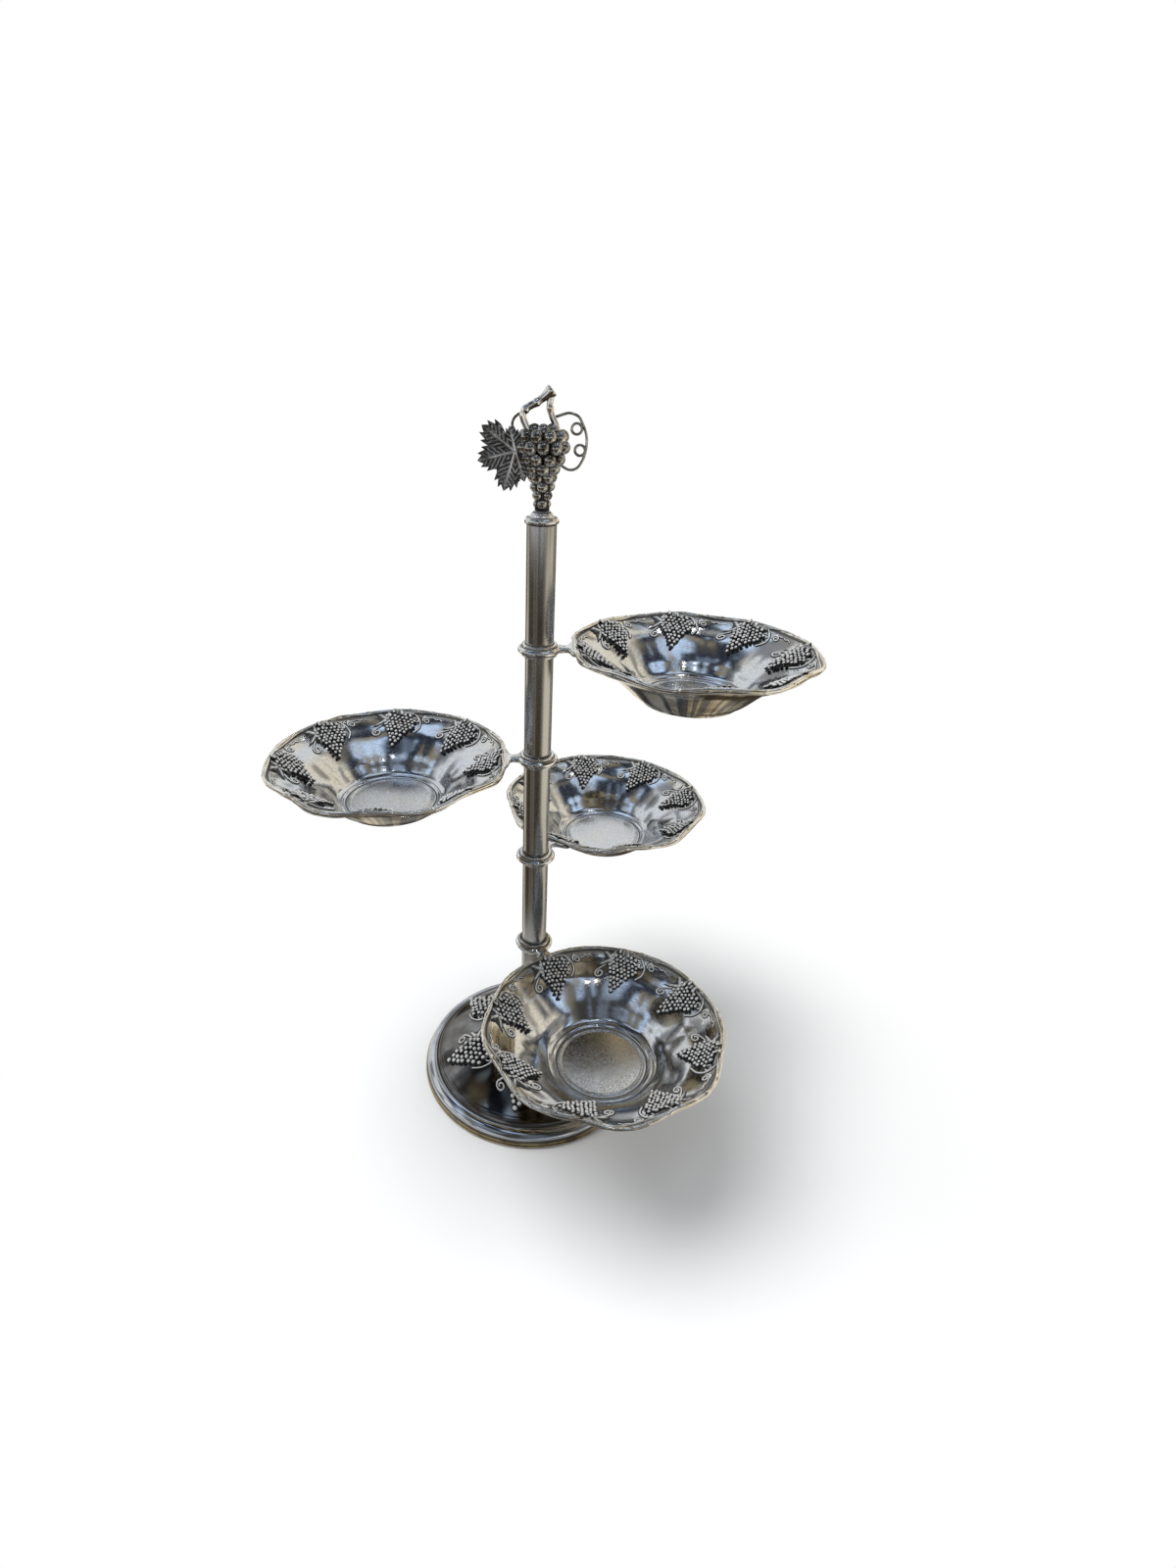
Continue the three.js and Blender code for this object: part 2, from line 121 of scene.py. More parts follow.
# Vine sprays: the flat spray's grape pitch, and how much it grows on bowl and base
BOWL_GRAPE_PITCH = 2.5
BOWL_SPRAY_SCALE = 1.34
BASE_GRAPE_PITCH = 3.1
BASE_SPRAY_SCALE = 1.5

# Finial, whose pieces stand a joint's gap apart
JOINT_GAP = 0.3
CAP_Z = COLUMN_TOP_Z + JOINT_GAP
CAP_SPIGOT = 8.0
CAP_RADIUS = 11.5
BUNCH_FOOT_Z = node_corners("finial_bunch")[0][2]
BUNCH_HEIGHT = 52.4
BUNCH_RADIUS = 13.6
BUNCH_FLATNESS = 0.86
GRAPE_RADIUS = 4.45
BUNCH_TOP_Z = BUNCH_FOOT_Z + BUNCH_HEIGHT
CORE_SHARES = (0.12, 0.5, 0.75)
LEAF_CUP = 0.002
LEAF_STALK = (-BUNCH_RADIUS - 4.0, -0.25 * BUNCH_RADIUS, BUNCH_TOP_Z - 16.5)

# Sides of the turned pieces
CORE_SIDES = 48
TUBE_SIDES = 96
PLATE_SIDES = 128
BASE_SIDES = 256
BOWL_SIDES = 288

# How far down a normal points where the painted underside starts, and where it is full. The underside
# colour is painted reflection and painted shade.
PAINTED_UNDERSIDE_START = 0.2
PAINTED_UNDERSIDE_FULL = 0.6

# Cast pieces that are only copied from. They are removed at the end.
BLANKS = []


# Paths and profiles

def circle(radius, turns):
    """The x and y of points round a middle, at one radius or at a radius for each."""
    return radius * np.cos(turns), radius * np.sin(turns)


def arc(centre, radii, start, end, count):
    """Points round a centre from one angle to another, in degrees, as wide and as high as radii."""
    return [(centre[0] + radii[0] * math.cos(turn), centre[1] + radii[1] * math.sin(turn))
            for turn in np.radians(np.linspace(start, end, count))]


def smooth_path(points, steps):
    """A smooth path through points of any size, with that many steps between two of them."""
    given = np.array(points, float)
    ends = np.vstack([2 * given[0] - given[1], given, 2 * given[-1] - given[-2]])
    path = []
    for a, b, c, d in zip(ends, ends[1:], ends[2:], ends[3:]):
        for t in np.arange(steps) / steps:
            cubic = (3 * b - a - 3 * c + d) * t ** 3 + (2 * a - 5 * b + 4 * c - d) * t ** 2
            path.append((cubic + (c - a) * t) / 2 + b)
    return np.array(path + [given[-1]])


def rounded(corners, steps=4):
    """A profile of corners [radius, z, fillet], each rounded off by its fillet."""
    profile = []
    for i, (x, z, fillet) in enumerate(corners):
        here = np.array((x, z))
        if fillet == 0 or i in (0, len(corners) - 1):
            profile.append(tuple(here))
            continue
        before = np.array(corners[i - 1][:2]) - here
        after = np.array(corners[i + 1][:2]) - here
        reach = min(fillet, np.linalg.norm(before) * 0.45, np.linalg.norm(after) * 0.45)
        enter = here + before / np.linalg.norm(before) * reach
        leave = here + after / np.linalg.norm(after) * reach
        for t in np.linspace(0, 1, steps + 1):
            profile.append(tuple(enter * (1 - t) ** 2 + here * 2 * t * (1 - t) + leave * t ** 2))
    return profile


def beaded(profile, beads):
    """A profile of [radius, z] with a small raised bead at each [radius, height, width]."""
    raised = np.array(profile, float)
    for radius, height, width in beads:
        raised[:, 1] += height * np.exp(-((raised[:, 0] - radius) / width) ** 2)
    return [tuple(point) for point in raised]


# Meshes

def new_object(name, vertices, edges=(), faces=(), attributes=None):
    """A mesh object from points in millimetres. Attributes hold one number a point."""
    mesh = bpy.data.meshes.new(name)
    mesh.from_pydata([tuple(np.array(v, float) * MM) for v in vertices], list(edges), list(faces))
    for label, values in (attributes or {}).items():
        layer = mesh.attributes.new(label, "FLOAT", "POINT")
        layer.data.foreach_set("value", np.array(values, np.float32))
    mesh.update()
    piece = bpy.data.objects.new(name, mesh)
    bpy.context.scene.collection.objects.link(piece)
    return piece


def add_tree(piece, tree, **values):
    """Puts a geometry tree on a piece and sets its named inputs."""
    modifier = piece.modifiers.new(tree.name, "NODES")
    modifier.node_group = tree
    for socket in tree.interface.items_tree:
        key = socket.name.replace(" ", "_").lower()
        if socket.in_out == "INPUT" and key in values:
            modifier[socket.identifier] = values[key]


def face_outwards(mesh):
    """Turns every face of a closed mesh to the outside."""
    solid = bmesh.new()
    solid.from_mesh(mesh)
    bmesh.ops.recalc_face_normals(solid, faces=solid.faces)
    solid.to_mesh(mesh)
    solid.free()


def cast(piece):
    """Replaces a piece's live trees by the plain mesh that they make, a blank to copy. It keeps its
    points' place in the attribute "place", for patterns that follow the piece, and "under" says how
    far each counts as underside, where the materials paint reflection and shade into the colour."""
    graph = bpy.context.evaluated_depsgraph_get()
    mesh = bpy.data.meshes.new_from_object(piece.evaluated_get(graph), depsgraph=graph)
    piece.modifiers.clear()
    mesh.name = piece.name
    piece.data = mesh
    face_outwards(mesh)
    points = np.zeros(len(mesh.vertices) * 3, np.float32)
    mesh.vertices.foreach_get("co", points)
    layer = mesh.attributes.new("place", "FLOAT_VECTOR", "POINT")
    layer.data.foreach_set("vector", points)
    normals = np.zeros(len(mesh.vertices) * 3, np.float32)
    mesh.vertex_normals.foreach_get("vector", normals)
    # How far each point faces down, for the painted reflection and painted shade of the underside
    # colour
    under = np.interp(-normals[2::3], (PAINTED_UNDERSIDE_START, PAINTED_UNDERSIDE_FULL), (0, 1)).astype(np.float32)
    mesh.attributes.new("under", "FLOAT", "POINT").data.foreach_set("value", under)
    BLANKS.append(piece)
    return piece


def seat(piece, name, body, slot, *nodes, place=None):
    """A copy of a cast piece on a body, moved to its place, where it stands for CAD nodes."""
    mesh = piece.data.copy()
    mesh.name = name
    mesh.transform(place or Matrix.Identity(4))
    twin = bpy.data.objects.new(name, mesh)
    bpy.context.scene.collection.objects.link(twin)
    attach(twin, body)
    if nodes:
        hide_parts(*nodes)


# Node trees

class Steps:
    """Adds nodes to a tree one step at a time and joins them up."""

    def __init__(self, tree, output=None):
        self.tree = tree
        self.output = output

    def add(self, kind, inputs=(), **settings):
        """A new node. Its inputs are given by name or number, each a socket to link or a value."""
        node = self.tree.nodes.new(kind)
        for name, value in settings.items():
            setattr(node, name, value)
        for key, value in dict(inputs).items():
            if isinstance(key, int):
                socket = node.inputs[key]
            else:
                socket = next(s for s in node.inputs if s.name == key and s.enabled)
            if isinstance(value, bpy.types.NodeSocket):
                self.tree.links.new(value, socket)
            else:
                socket.default_value = value
        return node

    def link(self, values, node):
        """Links each named value to the node's input of that name."""
        for label, value in values.items():
            self.tree.links.new(value, node.inputs[label])

    def math(self, operation, *values, clamp=False):
        """The result of an operation on numbers."""
        node = self.add("ShaderNodeMath", enumerate(values), operation=operation, use_clamp=clamp)
        return node.outputs[0]

    def vector(self, operation, *values):
        """The result of an operation on vectors."""
        node = self.add("ShaderNodeVectorMath", enumerate(values), operation=operation)
        return node.outputs["Value" if operation in ("LENGTH", "DOT_PRODUCT") else "Vector"]

    def scaled(self, vector, scale):
        """A vector made longer or shorter by a number."""
        node = self.add("ShaderNodeVectorMath", {"Vector": vector, "Scale": scale},
                        operation="SCALE")
        return node.outputs["Vector"]

    def split(self, vector):
        """A vector's x, y and z."""
        return self.add("ShaderNodeSeparateXYZ", {0: vector}).outputs

    def combine(self, x, y, z):
        """The vector of x, y and z."""
        return self.add("ShaderNodeCombineXYZ", {0: x, 1: y, 2: z}).outputs[0]

    def off_axis(self, x, y):
        """The distance from the Z axis."""
        return self.vector("LENGTH", self.combine(x, y, 0.0))

    def outward(self, x, y):
        """The direction away from the Z axis."""
        return self.vector("NORMALIZE", self.combine(x, y, 0.0))

    def around(self, radius, angle, height):
        """The place at a radius, an angle round the Z axis and a height."""
        x = self.math("MULTIPLY", radius, self.math("COSINE", angle))
        y = self.math("MULTIPLY", radius, self.math("SINE", angle))
        return self.combine(x, y, height)

    def between(self, value, low, high, at_low=0.0, at_high=1.0):
        """A smooth step from one value to another as a value goes from low to high."""
        limits = {0: value, 1: low, 2: high, 3: at_low, 4: at_high}
        return self.add("ShaderNodeMapRange", limits, interpolation_type="SMOOTHSTEP").outputs[0]

    def mix(self, factor, first, second):
        """A mix of two colours."""
        inputs = {0: factor, 6: first, 7: second}
        return self.add("ShaderNodeMix", inputs, data_type="RGBA").outputs[2]

    def noise(self, vector, scale, detail=2.0, roughness=0.5):
        """Soft noise at a place, from 0 to 1 with a middle of 0.5."""
        inputs = {"Vector": vector, "Scale": scale, "Detail": detail, "Roughness": roughness}
        return self.add("ShaderNodeTexNoise", inputs).outputs[0]

    def named(self, label):
        """The number that each point holds under a name."""
        node = self.add("GeometryNodeInputNamedAttribute", {"Name": label}, data_type="FLOAT")
        return next(s for s in node.outputs if s.name == "Attribute" and s.enabled)

    def store(self, geometry, label, value):
        """The geometry, with a number stored on each point under a name."""
        inputs = {"Geometry": geometry, "Name": label, "Value": value}
        return self.add("GeometryNodeStoreNamedAttribute", inputs, data_type="FLOAT").outputs[0]

    def position(self):
        """Where each point is."""
        return self.add("GeometryNodeInputPosition").outputs[0]

    def place(self, geometry, position):
        """The geometry, with each point moved to a position."""
        inputs = {"Geometry": geometry, "Position": position}
        return self.add("GeometryNodeSetPosition", inputs).outputs[0]

    def ball(self, segments, rings):
        """A round ball with a radius of 1."""
        inputs = {"Segments": segments, "Rings": rings, "Radius": 1.0}
        return self.add("GeometryNodeMeshUVSphere", inputs).outputs["Mesh"]

    def copies(self, points, piece, **inputs):
        """A copy of a piece on each point."""
        inputs = {"Points": points, "Instance": piece, **inputs}
        return self.add("GeometryNodeInstanceOnPoints", inputs).outputs[0]

    def real(self, geometry):
        """The geometry, with its copies turned into meshes of their own."""
        return self.add("GeometryNodeRealizeInstances", {0: geometry}).outputs[0]

    def ring(self, sides):
        """A circle with a radius of 1, to draw wires with."""
        inputs = {"Resolution": sides, "Radius": 1.0}
        return self.add("GeometryNodeCurvePrimitiveCircle", inputs).outputs[0]

    def drawn(self, path, ring, radius):
        """A path drawn out to a closed wire, with that radius at each point."""
        inputs = {"Curve": path, "Profile Curve": ring, "Scale": radius, "Fill Caps": True}
        return self.add("GeometryNodeCurveToMesh", inputs).outputs[0]

    def join(self, *geometries):
        """Several geometries in one, in that order. A join takes its last link first."""
        node = self.add("GeometryNodeJoinGeometry")
        for geometry in reversed(geometries):
            self.tree.links.new(geometry, node.inputs[0])
        return node.outputs[0]

    def finish(self, geometry, material):
        """Ends a geometry tree with real geometry, smooth and in its material."""
        smooth = self.add("GeometryNodeSetShadeSmooth", {0: self.real(geometry)}).outputs[0]
        finished = self.add("GeometryNodeSetMaterial", {0: smooth, 2: material}).outputs[0]
        self.tree.links.new(finished, self.output.inputs[0])


def group_steps(tree, inputs, outputs):
    """Gives a tree named inputs (name: (kind, value)) and outputs (name: kind). Returns its steps
    and its inputs' sockets."""
    for label, (kind, value) in inputs.items():
        socket = tree.interface.new_socket(label, in_out="INPUT", socket_type="NodeSocket" + kind)
        if value is not None:
            socket.default_value = value
    for label, kind in outputs.items():
        tree.interface.new_socket(label, in_out="OUTPUT", socket_type="NodeSocket" + kind)
    steps = Steps(tree)
    given = steps.add("NodeGroupInput").outputs
    steps.output = steps.add("NodeGroupOutput")
    return steps, given


def geometry_steps(name, inputs):
    """A new geometry tree with named inputs, ready for its steps."""
    tree = bpy.data.node_groups.new(name, "GeometryNodeTree")
    tree.is_modifier = True
    inputs = {"Geometry": ("Geometry", None), **inputs, "Material": ("Material", None)}
    return group_steps(tree, inputs, {"Geometry": "Geometry"})


def shader_steps(name, inputs, outputs):
    """A new shader group with named inputs and outputs, ready for its steps."""
    return group_steps(bpy.data.node_groups.new(name, "ShaderNodeTree"), inputs, outputs)


def turned_tree():
    """A profile of points in the XZ plane, turned about +Z and closed at seam and poles."""
    steps, given = geometry_steps("Turned Piece", {"Sides": ("Int", 64)})
    profile = given["Geometry"]
    size = steps.add("GeometryNodeAttributeDomainSize", {0: profile}).outputs["Point Count"]
    grid = steps.add("GeometryNodeMeshGrid", {
        "Size X": 1.0,
        "Size Y": 1.0,
        "Vertices X": steps.math("ADD", given["Sides"], 1),
        "Vertices Y": size,
    }).outputs["Mesh"]
    across, up, _ = steps.split(steps.position())
    last_row = steps.math("SUBTRACT", size, 1)
    row = steps.math("ROUND", steps.math("MULTIPLY", steps.math("ADD", up, 0.5), last_row))
    at_row = {"Geometry": profile, "Index": row}
    point = steps.add("GeometryNodeSampleIndex", {**at_row, "Value": steps.position()},
                      data_type="FLOAT_VECTOR").outputs[0]
    hollow = steps.add("GeometryNodeSampleIndex", {**at_row, "Value": steps.named("hollow")},
                       data_type="FLOAT").outputs[0]
    radius, _, height = steps.split(point)
    turn = steps.math("MULTIPLY", steps.math("ADD", across, 0.5), math.tau)
    darkened = steps.store(grid, "hollow", hollow)
    solid = steps.place(darkened, steps.around(radius, turn, height))
    seams = {"Geometry": solid, "Distance": 0.002 * MM}
    merged = steps.add("GeometryNodeMergeByDistance", seams).outputs[0]
    steps.finish(merged, given["Material"])
    return steps.tree


def lobed_tree():
    """Swings a turned bowl's rim in and out and flutes its wall."""
    steps, given = geometry_steps("Lobed Bowl", {
        "Lobes": ("Float", LOBES),
        "Floor Radius": ("Float", FLOOR_RADIUS * MM),
        "Rim Radius": ("Float", BOWL_RADIUS * MM),
        "Swing": ("Float", LOBE_SWING * MM),
        "Drop": ("Float", LOBE_DROP * MM),
        "Flute Depth": ("Float", FLUTE_DEPTH * MM),
        "Ridge Softness": ("Float", RIDGE_SOFTNESS),
    })
    x, y, z = steps.split(steps.position())
    radius = steps.off_axis(x, y)
    angle = steps.math("ARCTAN2", y, x)
    span = steps.math("SUBTRACT", given["Rim Radius"], given["Floor Radius"])
    run = steps.math("SUBTRACT", radius, given["Floor Radius"])
    reach = steps.math("DIVIDE", run, span, clamp=True)
    turn = steps.math("MULTIPLY", angle, given["Lobes"])
    lobe = steps.math("MULTIPLY", steps.math("COSINE", turn), -1.0)
    wave = steps.math("MULTIPLY", lobe, steps.math("MULTIPLY", reach, reach))
    half = steps.math("COSINE", steps.math("MULTIPLY", turn, 0.5))
    softness = steps.math("MULTIPLY", given["Ridge Softness"], given["Ridge Softness"])
    ridge = steps.math("SQRT", steps.math("ADD", steps.math("MULTIPLY", half, half), softness))
    crown = steps.math("SINE", steps.math("MULTIPLY", reach, math.pi))
    flute = steps.math("MULTIPLY", steps.math("MULTIPLY", ridge, crown), given["Flute Depth"])
    swung = steps.math("MULTIPLY", wave, given["Swing"])
    grown = steps.math("ADD", steps.math("ADD", radius, flute), swung)
    dropped = steps.math("SUBTRACT", z, steps.math("MULTIPLY", wave, given["Drop"]))
    shaped = steps.place(given["Geometry"], steps.around(grown, angle, dropped))
    steps.finish(shaped, given["Material"])
    return steps.tree


def wire_tree():
    """A path of edges drawn out to a round wire, as thick at each point as its stem attribute."""
    steps, given = geometry_steps("Drawn Wire", {"Sides": ("Int", 10)})
    path = steps.add("GeometryNodeMeshToCurve", {"Mesh": given["Geometry"]}).outputs[0]
    wire = steps.drawn(path, steps.ring(given["Sides"]), steps.named("stem"))
    steps.finish(wire, given["Material"])
    return steps.tree


def spray_tree():
    """A flat vine spray: points become grapes, edges become stems, and faces stay as leaves. Each
    grape and stem lies on a wider blackened pad, which gives it a dark outline."""
    steps, given = geometry_steps("Vine Spray", {
        "Segments": ("Int", 8),
        "Rings": ("Int", 5),
        "Stem Sides": ("Int", 6),
        "Pad Sides": ("Int", 10),
        "Pad Width": ("Float", 1.4),
        "Pad Thickness": ("Float", 0.32 * MM),
        "Pad Height": ("Float", -0.05 * MM),
        "Outline Width": ("Float", 0.3 * MM),
        "Outline Flatness": ("Float", 0.16),
    })
    geometry = given["Geometry"]
    grape = steps.named("grape")
    stem = steps.named("stem")
    is_grape = steps.math("GREATER_THAN", grape, 0.0)
    is_stem = steps.math("GREATER_THAN", stem, 0.0)
    ball = steps.ball(given["Segments"], given["Rings"])
    size = steps.combine(grape, grape, grape)
    grapes = steps.copies(geometry, ball, Selection=is_grape, Scale=size)
    pad = steps.add("GeometryNodeMeshCone", {
        "Vertices": given["Pad Sides"],
        "Radius Top": 0.75,
        "Radius Bottom": 1.0,
        "Depth": 1.0,
    }).outputs["Mesh"]
    x, y, z = steps.split(steps.position())
    low = steps.place(geometry, steps.combine(x, y, given["Pad Height"]))
    wide = steps.math("MULTIPLY", grape, given["Pad Width"])
    size = steps.combine(wide, wide, given["Pad Thickness"])
    pads = steps.copies(low, steps.store(pad, "hollow", 1.0), Selection=is_grape, Scale=size)
    path = steps.add("GeometryNodeMeshToCurve", {"Mesh": geometry, "Selection": is_stem}).outputs[0]
    ring = steps.ring(given["Stem Sides"])
    stems = steps.drawn(path, ring, stem)
    wide_stem = steps.math("MULTIPLY", stem, given["Pad Width"])
    thick = steps.drawn(path, ring, steps.math("ADD", wide_stem, given["Outline Width"]))
    flattened = steps.combine(x, y, steps.math("MULTIPLY", z, given["Outline Flatness"]))
    outlines = steps.store(steps.place(thick, flattened), "hollow", 1.0)
    leaves = steps.add("GeometryNodeDeleteGeometry", {
        "Geometry": geometry,
        "Selection": steps.math("MAXIMUM", is_grape, is_stem),
    }, domain="POINT").outputs[0]
    raised = steps.real(steps.join(grapes, pads, stems, outlines, leaves))
    _, _, upward = steps.split(steps.add("GeometryNodeInputNormal").outputs[0])
    # Sides that turn from the spray's top are blackened: oxide and painted shade where the relief
    # meets its ground
    side = steps.between(upward, 0.35, 0.8, 1.0, 0.0)
    hollow = steps.math("MAXIMUM", side, steps.named("hollow"))
    steps.finish(steps.store(raised, "hollow", hollow), given["Material"])
    return steps.tree


def relief_tree(spray):
    """Repeats a flat spray round a turned surface and drops each copy onto it from above, along
    its slope. Top Side is 1 where the sprays' tops point outwards and -1 where they point in."""
    steps, given = geometry_steps("Vine Relief", {
        "Surface": ("Object", None),
        "Count": ("Int", LOBES),
        "Circle Radius": ("Float", 73 * MM),
        "Outer Limit": ("Float", 84 * MM),
        "First Angle": ("Float", 0.0),
        "Top Side": ("Float", 1.0),
        "Slope": ("Float", 0.86),
        "Sway": ("Float", 0.05),
        "Seed": ("Int", 3),
        "Ray Start": ("Float", 0.1),
        "Ray Length": ("Float", 0.3),
    })
    flat = steps.add("GeometryNodeGroup", {
        "Geometry": given["Geometry"],
        "Material": given["Material"],
    }, node_tree=spray).outputs[0]
    row = steps.add("GeometryNodeMeshLine", {
        "Count": given["Count"],
        "Offset": (0.0, 0.0, 0.0),
    }).outputs[0]
    index = steps.add("GeometryNodeInputIndex").outputs[0]
    sprays = steps.real(steps.copies(steps.store(row, "copy", index), flat))
    x, y, height = steps.split(steps.position())
    copy = steps.named("copy")
    sways = steps.add("FunctionNodeRandomValue", {
        "Min": steps.math("MULTIPLY", given["Sway"], -1.0),
        "Max": given["Sway"],
        "ID": steps.math("ROUND", copy),
        "Seed": given["Seed"],
    }, data_type="FLOAT").outputs
    sway = next(socket for socket in sways if socket.enabled)
    swayed = steps.math("ADD", x, steps.math("MULTIPLY", sway, y))
    rise = steps.math("MULTIPLY", steps.math("MULTIPLY", y, given["Slope"]), given["Top Side"])
    radius = steps.math("ADD", given["Circle Radius"], rise)
    radius = steps.math("MINIMUM", radius, given["Outer Limit"])
    bend = steps.math("DIVIDE", steps.math("MULTIPLY", swayed, given["Top Side"]), radius)
    pitch = steps.math("DIVIDE", math.tau, given["Count"])
    angle = steps.math("ADD", given["First Angle"], steps.math("MULTIPLY", copy, pitch))
    angle = steps.math("SUBTRACT", angle, bend)
    surface = steps.add("GeometryNodeObjectInfo", {"Object": given["Surface"]})
    hit = steps.add("GeometryNodeRaycast", {
        "Target Geometry": surface.outputs["Geometry"],
        "Source Position": steps.around(radius, angle, given["Ray Start"]),
        "Ray Direction": (0.0, 0.0, -1.0),
        "Ray Length": given["Ray Length"],
    }).outputs
    lift = steps.scaled(hit["Hit Normal"], height)
    wrapped = steps.place(sprays, steps.vector("ADD", hit["Hit Position"], lift))
    steps.finish(wrapped, given["Material"])
    return steps.tree


def bunch_tree():
    """A solid bunch: each point becomes a round grape, blackened where it turns to its neighbours, as
    oxide and painted shade between the grapes.
    """
    steps, given = geometry_steps("Grape Bunch", {
        "Segments": ("Int", 18),
        "Rings": ("Int", 11),
        "Flatness": ("Float", BUNCH_FLATNESS),
    })
    grape = steps.named("grape")
    ball = steps.ball(given["Segments"], given["Rings"])
    size = steps.combine(grape, grape, grape)
    real = steps.real(steps.copies(given["Geometry"], ball, Scale=size))
    x, y, _ = steps.split(steps.position())
    squared = steps.math("MULTIPLY", given["Flatness"], given["Flatness"])
    outward = steps.outward(x, steps.math("DIVIDE", y, squared))
    normal = steps.add("GeometryNodeInputNormal").outputs[0]
    facing = steps.vector("DOT_PRODUCT", normal, outward)
    # Oxide and painted shade: grapes are black where they turn to their neighbours
    hollow = steps.between(facing, 0.0, 0.5, 1.0, 0.0)
    steps.finish(steps.store(real, "hollow", hollow), given["Material"])
    return steps.tree


# Shader groups

def turned_place_group():
    """A place on a turned piece as radius, way round and height, for marks left by the lathe."""
    steps, given = shader_steps("Turned Place", {"Place": ("Vector", None)}, {"Vector": "Vector"})
    x, y, z = steps.split(given["Place"])
    way = steps.math("MULTIPLY", steps.math("ARCTAN2", y, x), 0.05)
    steps.link({"Vector": steps.combine(steps.off_axis(x, y), way, z)}, steps.output)
    return steps.tree


